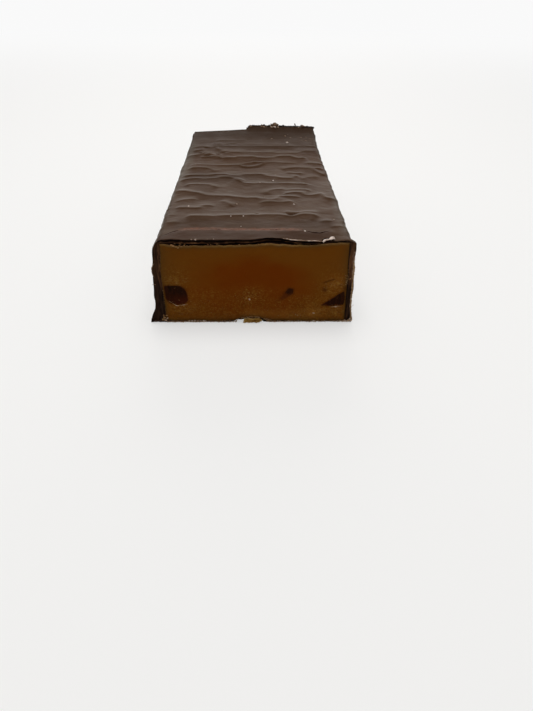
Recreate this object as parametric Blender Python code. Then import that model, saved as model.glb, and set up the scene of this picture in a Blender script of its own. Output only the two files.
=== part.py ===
"""Half of a chocolate coated ginger fudge bar, cut across and left as cut.

A slab of fudge with diced stem ginger in it, dipped whole in dark chocolate.
The coat is a cup round the slab: closed on five sides, open where the bar
was cut.  Its top carries the rippled waves of the dipping, its flanks carry
flow ribs that lean back as they run down, it spreads into a thin foot along
the base, and a torn lip of chocolate stands at the uncut end.

Frame: metres, +Z up.  X runs across the bar, Y along it from the cut face
to the uncut end, and the bar lies on Z = 0.
"""
import bpy
import bmesh
import math
from mathutils import Vector

MM = 0.001

# ------------------------------------------------------------ named sizes, mm
TOP_WIDTH = 50.0          # across the flat top
HEIGHT = 25.0             # base to the level of the top
LENGTH = 107.0            # cut face to the uncut end
EDGE_RADIUS = 1.7         # rounding of the top edges and the far corners

LEFT_BULGE = 1.6          # how far the left flank swells below the top edge
LEFT_SPREAD = 0.4         # and how much further it leans out by the base
LEFT_FOOT = 1.5           # the foot of chocolate that ran out at the left
RIGHT_BULGE = 0.9
RIGHT_SPREAD = 0.6
RIGHT_FOOT = 0.6
END_FOOT = 0.9            # foot at the uncut end
FOOT_TOP = 0.22           # the foot begins at this share of the height

COAT_TOP = 1.35           # thickness of the chocolate over the slab
COAT_BOTTOM = 0.7
COAT_END = 2.2
SLAB_LEFT = 24.9          # half widths of the hollow in the coat
SLAB_RIGHT = 24.6
SLAB_RIGHT_BASE = 25.4
GAP = 0.3                 # air between one solid and the next

RIB_PITCH = 7.4           # flow ribs on the flanks
RIB_HEIGHT = 0.5
RIB_LEAN = 9.0            # how far a rib has leaned back at the foot
END_RIB_PITCH = 6.2
END_RIB_HEIGHT = 0.3

LIP_FROM = -3.0           # torn lip at the uncut end: its span across the bar
LIP_TO = 24.3
LIP_REACH = 3.3           # how far it stands out past the end
LIP_RISE = 1.5            # and above the top
LIP_THICK = 1.1

STEP_ALONG = 1.5          # spacing of the surface's grid
STEP_ACROSS = 2.4
STEP_UP = 2.6

# Waves on the top.  Each one lies across the bar: where it crosses the
# middle (from the cut), how it leans over the full width, its sway and the
# sway's length and phase, the span it covers, its height and half width.
WAVES = [
    # at    lean  sway  length phase  from    to   high  half
    (14.9,  2.2,  0.35, 30.0,  0.0, -20.0,  19.0, 0.42, 1.2),
    (22.6,  7.0,  0.50, 14.0,  0.5, -22.5,  -8.0, 0.34, 1.1),
    (30.5,  0.0,  3.80, 50.0,  3.65, -24.0, 23.0, 0.55, 1.2),
    (35.2,  1.5,  0.60, 18.0,  1.0,   3.0,  17.0, 0.34, 1.1),
    (38.6,  0.5,  0.70, 22.0,  1.2, -21.5, -10.0, 0.34, 1.1),
    (43.2, -3.0,  1.50, 40.0,  1.4, -23.5,  18.0, 0.50, 1.2),
    (48.2,  0.4,  1.10, 24.0,  2.6, -23.0,  17.0, 0.50, 1.2),
    (53.0, -9.0,  0.60, 12.0,  0.0,   9.0,  23.5, 0.28, 1.1),
    (58.3,  1.2,  0.30, 16.0,  0.0, -22.0,  -5.0, 0.42, 1.2),
    (68.8,  0.0,  0.70, 15.0,  1.0, -24.0,  18.0, 0.50, 1.2),
    (73.8,  1.0,  0.80, 28.0,  0.4, -12.0,  22.0, 0.38, 1.5),
    (80.2,  2.0,  0.60, 36.0,  0.0, -15.0,  24.0, 0.26, 2.2),
]
# One closed ring among them: centre across and along, radii, slant, height.
RING = (-1.2, 61.6, 4.2, 2.4, 0.45, 0.42)

# Diced ginger that shows in the cut face.  Each die: its centre across and
# above the base, how deep it runs in, and the planes that bound it, as
# (angle in the cut plane, distance from the centre, lean going inwards).
GINGER = {
    "ginger_left": (-21.35, 9.3, 5.2, [
        (90.0, 2.60, 0.10), (40.0, 2.75, 0.14), (2.0, 3.05, 0.06),
        (-80.0, 2.65, 0.12), (-128.0, 2.75, 0.10), (181.0, 3.05, 0.04)]),
    "ginger_mid": (8.9, 9.1, 3.6, [
        (135.0, 1.00, 0.12), (172.0, 1.60, 0.20), (-135.0, 2.30, 0.30),
        (-48.0, 0.95, 0.10), (0.0, 1.55, 0.18), (45.0, 2.25, 0.25),
        (90.0, 1.60, 0.15)]),
    "ginger_right": (22.2, 7.3, 4.8, [
        (125.0, 1.15, 0.10), (180.0, 3.60, 0.20), (-92.0, 1.90, 0.08),
        (0.0, 1.95, 0.05), (100.0, 2.20, 0.12)]),
}


# ---------------------------------------------------------------- small tools
def smooth(low, high, value):
    """0 below low, 1 above high, with an even ease between them."""
    t = min(1.0, max(0.0, (value - low) / (high - low)))
    return t * t * (3.0 - 2.0 * t)


def span(value, start, end, ease):
    """1 inside a span and 0 outside it, easing at both ends."""
    return smooth(start - ease, start + ease, value) * \
        (1.0 - smooth(end - ease, end + ease, value))


def stations(length, step, near, far):
    """Grid lines along an edge, closer together in its rounded ends."""
    low = [0.0, 0.35 * near, near] if near else [0.0]
    high = [length - far, length - 0.35 * far, length] if far else [length]
    a, b = low[-1], high[0]
    count = max(1, round((b - a) / step))
    middle = [a + (b - a) * i / count for i in range(1, count)]
    return low + middle + high


def make_material(name, colour, roughness, metallic=0.0, subsurface=0.0):
    material = bpy.data.materials.new(name)
    material.use_nodes = True
    shader = material.node_tree.nodes["Principled BSDF"]
    shader.inputs["Base Color"].default_value = (*colour, 1.0)
    shader.inputs["Roughness"].default_value = roughness
    shader.inputs["Metallic"].default_value = metallic
    shader.inputs["Subsurface Weight"].default_value = subsurface
    material.diffuse_color = (*colour, 1.0)
    return material


def new_object(name, bm, collection, material=None, parent=None):
    bm.normal_update()
    mesh = bpy.data.meshes.new(name)
    bm.to_mesh(mesh)
    bm.free()
    obj = bpy.data.objects.new(name, mesh)
    collection.objects.link(obj)
    if material is not None:
        mesh.materials.append(material)
    if parent is not None:
        obj.parent = parent
    return obj


def as_cutter(obj):
    obj.hide_render = True
    obj.display_type = 'WIRE'
    return obj


def boolean(obj, tool, operation):
    modifier = obj.modifiers.new(operation.title() + "_" + tool.name,
                                 'BOOLEAN')
    modifier.object = tool
    modifier.operation = operation
    modifier.solver = 'EXACT'
    return modifier


def gridded_cube(lines_x, lines_y, lines_z):
    """A primitive cube, loop cut along each axis and set on given lines."""
    bm = bmesh.new()
    bmesh.ops.create_cube(bm, size=1.0)
    for axis, lines in ((1, lines_y), (0, lines_x), (2, lines_z)):
        others = [k for k in range(3) if k != axis]
        edges = [e for e in bm.edges
                 if all(abs(e.verts[0].co[k] - e.verts[1].co[k]) < 1e-6
                        for k in others)]
        if len(lines) > 2:
            bmesh.ops.subdivide_edges(bm, edges=edges, cuts=len(lines) - 2,
                                      use_grid_fill=True)
    for v in bm.verts:
        place = []
        for k, lines in enumerate((lines_x, lines_y, lines_z)):
            index = round((v.co[k] + 0.5) * (len(lines) - 1))
            place.append(lines[index])
        v.co = Vector(place)
    return bm


# ------------------------------------------------------------ the coat's form
def flank(depth, side):
    """How far a flank stands out past the top's half width at a depth."""
    s = min(1.0, max(0.0, depth / HEIGHT))
    if side < 0:
        bulge, spread, foot = LEFT_BULGE, LEFT_SPREAD, LEFT_FOOT
    else:
        bulge, spread, foot = RIGHT_BULGE, RIGHT_SPREAD, RIGHT_FOOT
    return bulge * (1.0 - math.exp(-s / 0.11)) + spread * s \
        + foot * smooth(1.0 - FOOT_TOP, 1.0, s)


def rib(along, depth, side):
    """Flow ribs: upright below the top edge, leaning back as they run down."""
    s = depth / HEIGHT
    lean = RIB_LEAN * s ** 2.2
    wander = 1.1 * math.sin(along / 13.0 + side) + \
        0.5 * math.sin(along / 5.1 + 2.0 * side)
    turn = 2.0 * math.pi * (along + lean + wander) / RIB_PITCH
    crest = (0.5 + 0.5 * math.cos(turn)) ** 1.6
    return RIB_HEIGHT * (crest - 0.35) * span(s, 0.10, 0.76, 0.07)


def top_relief(across, along):
    """Height of the rippled top over its flat level."""
    high = 0.0
    for at, lean, sway, length, phase, start, end, rise, half in WAVES:
        line = at + lean * across / TOP_WIDTH + \
            sway * math.sin(2.0 * math.pi * across / length + phase)
        off = (along - line) / half
        # steep towards the cut, longer behind
        off *= 1.25 if off < 0.0 else 0.8
        high += rise * math.exp(-off * off) * span(across, start, end, 2.0)
    cx, cy, rx, ry, slant, rise = RING
    dx, dy = across - cx, along - cy
    u = dx * math.cos(slant) + dy * math.sin(slant)
    v = -dx * math.sin(slant) + dy * math.cos(slant)
    off = (math.hypot(u / rx, v / ry) - 1.0) * ry / 0.9
    high += rise * math.exp(-off * off)
    return high + 0.12 * math.sin(across / 9.0 + 0.6) * math.sin(along / 17.0)


def shape_coat(bm):
    """Round, flare and ripple the gridded box that the coat starts as."""
    inner = Vector((TOP_WIDTH / 2 - EDGE_RADIUS, LENGTH - EDGE_RADIUS,
                    HEIGHT - EDGE_RADIUS))
    for v in bm.verts:
        x, y, z = v.co
        on_base = z < 1e-6
        on_cut = y < 1e-6
        near = Vector((max(-inner.x, min(inner.x, x)), min(inner.y, y),
                       min(inner.z, z)))
        away = Vector((x, y, z)) - near
        if away.length > 1e-9:
            away *= max(abs(c) for c in away) / away.length
        x, y, z = near + away
        depth = HEIGHT - z
        side = -1.0 if x < 0.0 else 1.0
        share = min(1.0, abs(x) / (TOP_WIDTH / 2))
        out = smooth(0.80, 1.0, share)
        ease_end = 1.0 - smooth(LENGTH - 4.0, LENGTH, y)
        raised = 0.0
        if not on_base:
            raised = rib(y, depth, side) * out * (0.3 + 0.7 * ease_end)
        ragged = 0.35 * math.sin(y / 3.7 + side) * math.sin(y / 8.9) * \
            smooth(0.80, 1.0, depth / HEIGHT)
        x += side * out * (flank(depth, side) + raised
                           + min(0.0, ragged))
        # the uncut end swells and has a foot of its own
        back = smooth(LENGTH - 3.0, LENGTH - 0.4, y)
        s = depth / HEIGHT
        y += back * (0.8 * math.sin(math.pi * min(1.0, s * 1.1)) * 0.6
                     + END_FOOT * smooth(0.78, 1.0, s)
                     + END_RIB_HEIGHT * math.sin(
                         2.0 * math.pi * x / END_RIB_PITCH + 2.0 * s)
                     * span(s, 0.12, 0.8, 0.08))
        if on_base:
            z = 0.0
        else:
            lift = smooth(HEIGHT - EDGE_RADIUS - 0.5, HEIGHT, z)
            z += lift * top_relief(x, y)
        if on_cut:
            y = 0.0
        v.co = Vector((x, y, z))


def build_coat_body():
    r = EDGE_RADIUS
    bm = gridded_cube(
        [c - TOP_WIDTH / 2 for c in stations(TOP_WIDTH, STEP_ACROSS, r, r)],
        stations(LENGTH, STEP_ALONG, 0.0, r),
        stations(HEIGHT, STEP_UP, 0.0, r))
    shape_coat(bm)
    # the base and the cut are flat, so each is one face
    bm.normal_update()
    for axis, sign in ((2, -1.0), (1, -1.0)):
        flat = [f for f in bm.faces if f.normal[axis] * sign > 0.9999
                and all(abs(v.co[axis]) < 1e-6 for v in f.verts)]
        bmesh.ops.dissolve_faces(bm, faces=flat, use_verts=False)
    bmesh.ops.triangulate(bm, faces=[f for f in bm.faces
                                     if len(f.verts) == 4])
    bmesh.ops.scale(bm, vec=(MM, MM, MM), verts=bm.verts)
    return bm


def build_hollow(gap, through):
    """The slab's space: a box with one leaning side, open at the cut."""
    bm = bmesh.new()
    bmesh.ops.create_cube(bm, size=1.0)
    for v in bm.verts:
        low = v.co.z < 0.0
        if v.co.x < 0.0:
            x = -SLAB_LEFT + gap
        else:
            x = (SLAB_RIGHT_BASE if low else SLAB_RIGHT) - gap
        y = through if v.co.y < 0.0 else LENGTH - COAT_END - gap
        z = COAT_BOTTOM + gap if low else HEIGHT - COAT_TOP - gap
        v.co = Vector((x, y, z)) * MM
    return bm


def build_lip():
    """A thin torn flap past the uncut end, jagged along its free edge."""
    count = 26
    lines = [LIP_FROM + (LIP_TO - LIP_FROM) * i / count
             for i in range(count + 1)]
    bm = gridded_cube(lines, [0.0, 0.5, 1.0], [0.0, 1.0])
    for v in bm.verts:
        x, out, up = v.co
        jag = 0.55 * math.sin(x * 2.1) + 0.4 * math.sin(x * 4.7 + 1.0)
        ends = smooth(LIP_FROM - 0.2, LIP_FROM + 1.6, x)
        reach = out * (LIP_REACH + 0.5 * jag) * (0.75 + 0.25 * ends)
        rise = out ** 1.4 * (LIP_RISE + 0.35 * jag) * ends
        thick = LIP_THICK * (1.0 - 0.35 * out)
        y = LENGTH - EDGE_RADIUS - 0.2 + reach + EDGE_RADIUS * out
        z = HEIGHT - EDGE_RADIUS + 0.45 + rise + up * thick - 0.2 * (1 - out)
        v.co = Vector((x, y, z)) * MM
    return bm


def build_die(centre_x, centre_z, deep, planes, gap, open_front):
    """A diced piece: a cube of ginger trimmed by one knife cut per plane."""
    bm = bmesh.new()
    bmesh.ops.create_cube(bm, size=2.0)
    size = max(abs(p[1]) for p in planes) * 2.4 + 2.0
    front = -1.0 if open_front else 0.0
    for v in bm.verts:
        v.co = Vector((centre_x + v.co.x * size,
                       front if v.co.y < 0.0 else deep + gap,
                       centre_z + v.co.z * size)) * MM
    for angle, distance, lean in planes:
        a = math.radians(angle)
        normal = Vector((math.cos(a), lean, math.sin(a)))
        point = Vector((centre_x, 0.0, centre_z)) + \
            Vector((math.cos(a), 0.0, math.sin(a))) * distance + \
            normal.normalized() * gap
        cut = bmesh.ops.bisect_plane(
            bm, geom=bm.verts[:] + bm.edges[:] + bm.faces[:],
            dist=1e-8, plane_co=point * MM, plane_no=normal,
            clear_outer=True)
        edges = [e for e in cut["geom_cut"]
                 if isinstance(e, bmesh.types.BMEdge)]
        if edges:
            bmesh.ops.contextual_create(bm, geom=edges)
    bmesh.ops.recalc_face_normals(bm, faces=bm.faces)
    return bm


# ------------------------------------------------------------------- assembly
def main():
    for obj in list(bpy.data.objects):
        bpy.data.objects.remove(obj, do_unlink=True)

    bar = bpy.data.collections.new("ginger_fudge_bar")
    tools = bpy.data.collections.new("cutters")
    bpy.context.scene.collection.children.link(bar)
    bpy.context.scene.collection.children.link(tools)

    chocolate = make_material("dark_chocolate", (0.066, 0.040, 0.028), 0.42)
    fudge_look = make_material("fudge", (0.330, 0.130, 0.022), 0.60,
                               subsurface=0.2)
    ginger_look = make_material("stem_ginger", (0.060, 0.014, 0.004), 0.35,
                                subsurface=0.2)

    # everything hangs on one empty, which is moved so that the bar's box
    # stands centred on the origin
    centre = bpy.data.objects.new("bar_centre", None)
    bar.objects.link(centre)

    coat = new_object("chocolate_coat", build_coat_body(), bar, chocolate,
                      centre)
    lip = as_cutter(new_object("torn_lip", build_lip(), tools, None, centre))
    hollow = as_cutter(new_object("slab_hollow", build_hollow(0.0, -2.0),
                                  tools, None, centre))
    boolean(coat, lip, 'UNION')
    boolean(coat, hollow, 'DIFFERENCE')

    fudge = new_object("fudge", build_hollow(GAP, 0.0), bar, fudge_look,
                       centre)
    for name, (cx, cz, deep, planes) in GINGER.items():
        new_object(name, build_die(cx, cz, deep, planes, 0.0, False), bar,
                   ginger_look.copy(), centre)
        pocket = as_cutter(new_object(
            name + "_pocket", build_die(cx, cz, deep, planes, GAP, True),
            tools, None, centre))
        boolean(fudge, pocket, 'DIFFERENCE')

    bpy.context.view_layer.update()
    graph = bpy.context.evaluated_depsgraph_get()
    points = [v.co.copy() for v in coat.evaluated_get(graph).data.vertices]
    low = Vector([min(p[k] for p in points) for k in range(3)])
    high = Vector([max(p[k] for p in points) for k in range(3)])
    centre.location = (-(low.x + high.x) / 2, -(low.y + high.y) / 2, -low.z)
    bpy.context.view_layer.update()


main()
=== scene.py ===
"""Looks of the cut half of a chocolate coated ginger fudge bar.

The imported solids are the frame.  Each is replaced here by a finer surface in
the same place: the rippled and ribbed coat with its cracked strip at the cut,
the knife-cut face of the fudge, the diced ginger in its pockets, and the
crumbs, shavings and sugar specks that the knife and the dipping left.

All the making below is in millimetres, in the bar's own directions: x across,
y along from the cut, z up from the base.  place() turns it into the frame.
"""

import math

import bmesh
import bpy
import numpy as np
from mathutils import Matrix, Vector


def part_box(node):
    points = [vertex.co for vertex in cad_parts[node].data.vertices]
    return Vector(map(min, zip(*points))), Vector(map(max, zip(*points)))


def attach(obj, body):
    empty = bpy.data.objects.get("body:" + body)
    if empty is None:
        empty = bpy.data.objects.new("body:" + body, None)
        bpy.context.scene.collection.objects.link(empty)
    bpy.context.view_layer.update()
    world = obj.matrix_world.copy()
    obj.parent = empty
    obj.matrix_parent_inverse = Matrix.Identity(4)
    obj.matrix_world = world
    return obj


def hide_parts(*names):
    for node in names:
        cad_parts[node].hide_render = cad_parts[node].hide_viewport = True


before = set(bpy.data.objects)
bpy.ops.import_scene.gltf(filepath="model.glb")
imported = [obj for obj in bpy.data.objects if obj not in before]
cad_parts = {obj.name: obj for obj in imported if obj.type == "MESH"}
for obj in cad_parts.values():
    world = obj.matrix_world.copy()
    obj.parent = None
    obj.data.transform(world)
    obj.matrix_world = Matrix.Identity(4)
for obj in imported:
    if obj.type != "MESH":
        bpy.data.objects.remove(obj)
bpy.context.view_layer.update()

# ------------------------------------------------------------ named sizes, mm
WIDTH = 50.0
HEIGHT = 25.0
LENGTH = 107.0
EDGE = 1.3               # rounding of the top edges and far corners
SLAB_LEFT, SLAB_RIGHT, SLAB_RIGHT_BASE = 24.9, 24.6, 25.4
COAT_END = 2.2
GAP = 0.3
LIP_FROM, LIP_TO = -3.0, 24.6
LIP_REACH, LIP_RISE = 2.6, 0.95

_low, _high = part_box("fudge")
SHIFT = np.array([_low.x * 1000.0 + SLAB_LEFT - GAP, _low.y * 1000.0, 0.0])


def place(points):
    """Bar millimetres to frame metres."""
    return (np.asarray(points, float) + SHIFT) * 0.001


# ---------------------------------------------------------------- small maths
def smooth(low, high, value):
    t = np.clip((value - low) / (high - low), 0.0, 1.0)
    return t * t * (3.0 - 2.0 * t)


def table(value, pairs):
    xs, ys = zip(*pairs)
    return np.interp(value, xs, ys)


def _hash(ix, iy, iz, seed):
    h = (ix.astype(np.int64) * 374761393 + iy.astype(np.int64) * 668265263
         + iz.astype(np.int64) * 2246822519 + seed * 3266489917) & 0xFFFFFFFF
    h = ((h ^ (h >> 13)) * 1274126177) & 0xFFFFFFFF
    h = (h ^ (h >> 16)) & 0xFFFFFFFF
    return h / 2147483647.5 - 1.0


def noise(x, y, z=0.0, seed=0):
    """Smooth value noise, about -1 to 1."""
    x, y, z = np.broadcast_arrays(np.asarray(x, float), y, z)
    ix, iy, iz = np.floor(x), np.floor(y), np.floor(z)
    fx, fy, fz = x - ix, y - iy, z - iz
    fx, fy, fz = (f * f * f * (f * (f * 6 - 15) + 10) for f in (fx, fy, fz))
    out = 0.0
    for a in (0, 1):
        wx = fx if a else 1 - fx
        for b in (0, 1):
            wy = fy if b else 1 - fy
            for c in (0, 1):
                wz = fz if c else 1 - fz
                out = out + wx * wy * wz * _hash(ix + a, iy + b, iz + c, seed)
    return out


def fbm(x, y, z=0.0, octaves=4, seed=0, gain=0.5):
    total, high, scale = 0.0, 1.0, 1.0
    for k in range(octaves):
        total = total + high * noise(np.asarray(x) * scale + 17.3 * k,
                                     np.asarray(y) * scale,
                                     np.asarray(z) * scale, seed + k)
        high *= gain
        scale *= 2.03
    return total


def curve_through(points, closed=False, per=6):
    """A smooth run of points through a few given ones."""
    p = np.asarray(points, float)
    if closed:
        p = np.vstack([p[-2], p, p[1]])
    else:
        p = np.vstack([2 * p[0] - p[1], p, 2 * p[-1] - p[-2]])
    out = []
    for k in range(1, len(p) - 2):
        a, b, c, d = p[k - 1:k + 3]
        for t in np.arange(per) / per:
            out.append(0.5 * (2 * b + (c - a) * t
                              + (2 * a - 5 * b + 4 * c - d) * t ** 2
                              + (3 * b - a - 3 * c + d) * t ** 3))
    out.append(p[-2])
    return np.array(out)


def ridge_height(u, v, points, high, near, far, closed=False, taper=2.2,
                 tail=0.25, power=2.0):
    """Relief of one wave of set chocolate: a crest along a line, a long
    slope on its near side and a short one behind, with a low tail."""
    line = curve_through(points, closed)
    low = line.min(0) - 4.0 * max(near, far)
    top = line.max(0) + 4.0 * max(near, far)
    inside = (u > low[0]) & (u < top[0]) & (v > low[1]) & (v < top[1])
    out = np.zeros_like(u)
    if not inside.any():
        return out
    q = np.stack([u[inside], v[inside]], -1)
    a, b = line[:-1], line[1:]
    ab = b - a
    size = np.maximum((ab ** 2).sum(-1), 1e-9)
    best = np.full(len(q), 1e9)
    side = np.zeros(len(q))
    where = np.zeros(len(q))
    run = np.concatenate([[0.0], np.cumsum(np.sqrt(size))])
    for k in range(len(a)):
        t = np.clip(((q - a[k]) * ab[k]).sum(-1) / size[k], 0.0, 1.0)
        off = q - a[k] - t[:, None] * ab[k]
        d = np.sqrt((off ** 2).sum(-1))
        hit = d < best
        best[hit] = d[hit]
        cross = ab[k][0] * (q[:, 1] - a[k][1]) - ab[k][1] * (q[:, 0] - a[k][0])
        side[hit] = np.sign(cross[hit])
        where[hit] = (run[k] + t * math.sqrt(size[k]))[hit]
    fore = np.exp(-(best / near) ** power)
    aft = (1.0 - tail) * np.exp(-(best / far) ** 2) \
        + tail * np.exp(-(best / (3.2 * far)) ** 2)
    form = np.where(side < 0, fore, aft)
    if closed:
        ends = 1.0
    else:
        # run out gently at both ends, and vary a little on the way
        ends = smooth(0.0, taper, where + 0.3) * \
            smooth(0.0, taper, run[-1] - where + 0.3)
    vary = 1.0 + 0.25 * noise(where / 3.0, high * 77.0)
    out[inside] = high * form * ends * vary
    return out


# Waves on the top, as height, near slope, far slope and the crest's line,
# each point across the bar and along it from the cut.
WAVES = [
    (0.46, 3.0, 0.80, [(-19.2, 14.2), (-17.4, 14.3), (-14.8, 14.4),
                       (-8.2, 15.0), (-1.9, 15.2), (2.7, 15.8), (5.6, 15.7),
                       (9.3, 14.7), (11.4, 14.8), (13.0, 15.7), (14.8, 16.0),
                       (18.2, 14.8)]),
    (0.26, 1.2, 0.70, [(8.0, 17.3), (9.6, 18.0), (12.5, 17.4), (15.0, 18.1),
                       (18.2, 18.4)]),
    (0.36, 1.6, 0.80, [(-22.8, 21.6), (-19.0, 20.8), (-16.5, 20.6),
                       (-15.3, 21.5), (-14.5, 22.7), (-11.3, 22.8)]),
    (0.28, 2.2, 0.80, [(-10.6, 26.2), (-8.4, 25.2), (-6.9, 23.6),
                       (-5.6, 22.2)]),
    (0.28, 2.4, 0.90, [(-23.6, 26.6), (-19.5, 27.5), (-16.4, 27.6)]),
    (0.52, 2.8, 0.85, [(-24.6, 34.7), (-21.5, 34.1), (-19.0, 32.9),
                       (-16.9, 32.2), (-14.8, 30.8), (-12.0, 30.1),
                       (-8.2, 29.5), (-5.7, 28.7), (-3.2, 28.3),
                       (-0.7, 28.5), (1.0, 27.9), (2.7, 27.0), (4.8, 26.8),
                       (6.4, 27.1), (7.3, 28.5), (7.9, 30.0), (8.2, 31.6)]),
    (0.28, 1.3, 0.70, [(7.7, 29.5), (10.6, 29.5), (14.2, 29.6)]),
    (0.42, 1.8, 0.80, [(8.2, 31.7), (9.8, 32.0), (12.3, 32.9), (14.3, 32.6),
                       (15.0, 31.4), (17.7, 31.2), (19.3, 31.7),
                       (20.1, 32.2), (20.8, 30.5), (21.9, 28.9),
                       (24.6, 28.1)]),
    (0.34, 2.4, 0.85, [(3.3, 32.0), (4.2, 34.1), (5.6, 35.6), (8.0, 36.2),
                       (10.0, 35.5), (13.5, 35.9), (17.6, 35.2)]),
    (0.30, 2.8, 0.85, [(1.2, 24.7), (5.0, 24.9), (8.5, 25.0), (10.2, 25.5),
                       (11.8, 26.5)]),
    (0.20, 1.2, 0.80, [(17.5, 11.8), (22.0, 12.3)]),
    (0.20, 1.2, 0.80, [(20.4, 8.4), (24.4, 8.9)]),
    (0.20, 1.2, 0.80, [(-24.6, 11.5), (-20.1, 11.0)]),
    (0.16, 1.2, 0.80, [(-24.6, 16.8), (-21.4, 16.2)]),
    (0.46, 2.0, 0.80, [(-23.9, 49.0), (-16.5, 49.1), (-10.3, 49.3),
                       (-8.2, 48.4), (-5.7, 48.1), (-4.0, 49.3),
                       (-1.9, 50.0), (2.3, 49.8), (3.9, 48.5), (6.4, 47.7),
                       (8.5, 46.5), (11.8, 46.4), (13.5, 48.1),
                       (14.8, 49.3)]),
    (0.46, 2.6, 0.80, [(-24.0, 44.5), (-20.3, 45.6), (-16.5, 45.6),
                       (-12.3, 45.8), (-10.7, 46.6), (-8.6, 46.6),
                       (-6.9, 45.8), (-5.2, 44.7), (-2.8, 43.5)]),
    (0.44, 2.6, 0.80, [(-6.8, 45.2), (-4.2, 42.8), (-3.2, 41.8),
                       (0.2, 41.6), (1.8, 42.0), (4.3, 41.4), (8.5, 41.4),
                       (12.7, 41.0), (16.2, 40.8), (17.2, 41.9)]),
    (0.40, 2.8, 0.85, [(-22.0, 39.4), (-19.4, 40.0), (-14.8, 40.0),
                       (-12.8, 38.8), (-11.0, 38.1)]),
    (0.26, 2.0, 0.90, [(1.6, 62.6), (4.0, 63.1), (6.4, 63.3), (11.0, 62.8),
                       (15.2, 62.4)]),
    (0.40, 3.2, 0.90, [(-22.4, 59.4), (-16.9, 59.5), (-12.3, 59.5),
                       (-7.0, 59.8), (-4.3, 59.9)]),
    (0.28, 1.8, 0.90, [(-22.9, 56.2), (-18.5, 56.5), (-15.7, 56.2),
                       (-14.2, 55.0), (-13.0, 52.8)]),
    (0.34, 1.8, 1.10, [(9.2, 55.4), (11.5, 56.8), (14.5, 56.9),
                       (17.8, 56.5), (20.2, 56.2)]),
    (0.28, 1.6, 0.90, [(10.6, 53.6), (11.6, 52.2), (13.1, 51.4),
                       (16.8, 51.2)]),
    (0.38, 1.4, 0.90, [(24.0, 57.0), (21.8, 56.9), (20.4, 56.2),
                       (20.0, 55.0), (20.6, 53.5), (21.8, 51.8),
                       (24.0, 50.2)]),
    (0.28, 1.8, 0.90, [(17.2, 62.0), (20.0, 62.4), (24.4, 62.3)]),
    (0.20, 2.0, 1.00, [(15.0, 45.2), (17.5, 47.6), (21.8, 48.2)]),
    (0.40, 2.0, 0.90, [(-24.4, 70.4), (-20.5, 71.2), (-19.0, 72.6),
                       (-18.2, 74.5), (-18.6, 77.2), (-20.5, 77.8),
                       (-22.8, 76.4)]),
    (0.38, 1.8, 0.90, [(-19.4, 68.8), (-15.5, 68.8), (-13.9, 69.8),
                       (-15.0, 71.8), (-17.8, 73.0)]),
    (0.38, 1.4, 1.30, [(-15.3, 87.9), (-14.8, 83.5), (-14.4, 80.6),
                       (-13.2, 78.1), (-11.8, 75.6), (-11.2, 73.4)]),
    (0.36, 1.4, 0.90, [(-14.2, 72.2), (-12.2, 70.6), (-12.6, 69.0),
                       (-11.4, 67.4)]),
    (0.46, 2.6, 0.85, [(-12.2, 67.6), (-7.3, 67.5), (-5.7, 68.5),
                       (-3.2, 68.9), (-0.3, 68.7), (1.0, 67.8),
                       (4.3, 67.5), (6.8, 68.1), (8.1, 69.3), (10.2, 69.8),
                       (12.7, 69.3), (14.3, 68.1), (16.8, 67.7),
                       (18.8, 68.3)]),
    (0.44, 3.8, 1.50, [(-11.9, 72.5), (-9.8, 73.1), (-8.2, 74.3),
                       (-5.7, 74.6), (0.2, 74.5), (6.4, 74.5), (8.5, 73.9),
                       (12.7, 73.5), (15.2, 73.9), (17.3, 75.6),
                       (19.0, 76.5), (24.6, 76.6)]),
    (0.36, 3.0, 2.20, [(-13.4, 81.8), (-9.0, 82.6), (0.0, 82.3),
                       (10.0, 82.3), (18.0, 82.8), (24.6, 83.4)]),
    (0.28, 2.2, 1.40, [(-24.6, 80.8), (-20.5, 81.8), (-17.5, 81.0),
                       (-15.6, 79.2)]),
    (0.18, 3.2, 2.20, [(-15.0, 91.2), (-8.0, 90.6), (-2.6, 91.1)]),
]
RINGS = [
    (0.42, 1.1, 0.80, [(-4.5, 60.4), (-3.2, 62.0), (-1.5, 62.8),
                       (0.4, 63.7), (2.9, 62.5), (1.5, 60.2), (0.2, 58.9),
                       (-1.9, 58.4), (-4.0, 59.0), (-4.5, 60.4)]),
]
# Pinholes and dimples: across, along, radius, depth.
PITS = [(10.2, 16.2, 0.9, 0.42), (11.6, 16.5, 0.7, 0.22),
        (0.7, 16.9, 0.5, 0.16), (-17.2, 70.4, 1.2, 0.30),
        (-13.1, 72.4, 0.7, 0.30), (-19.6, 73.8, 0.8, 0.25),
        (-17.6, 80.0, 1.0, 0.20), (4.5, 97.0, 0.5, 0.15),
        (-8.0, 85.0, 1.1, 0.12), (6.0, 44.0, 0.4, 0.20)]


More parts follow.
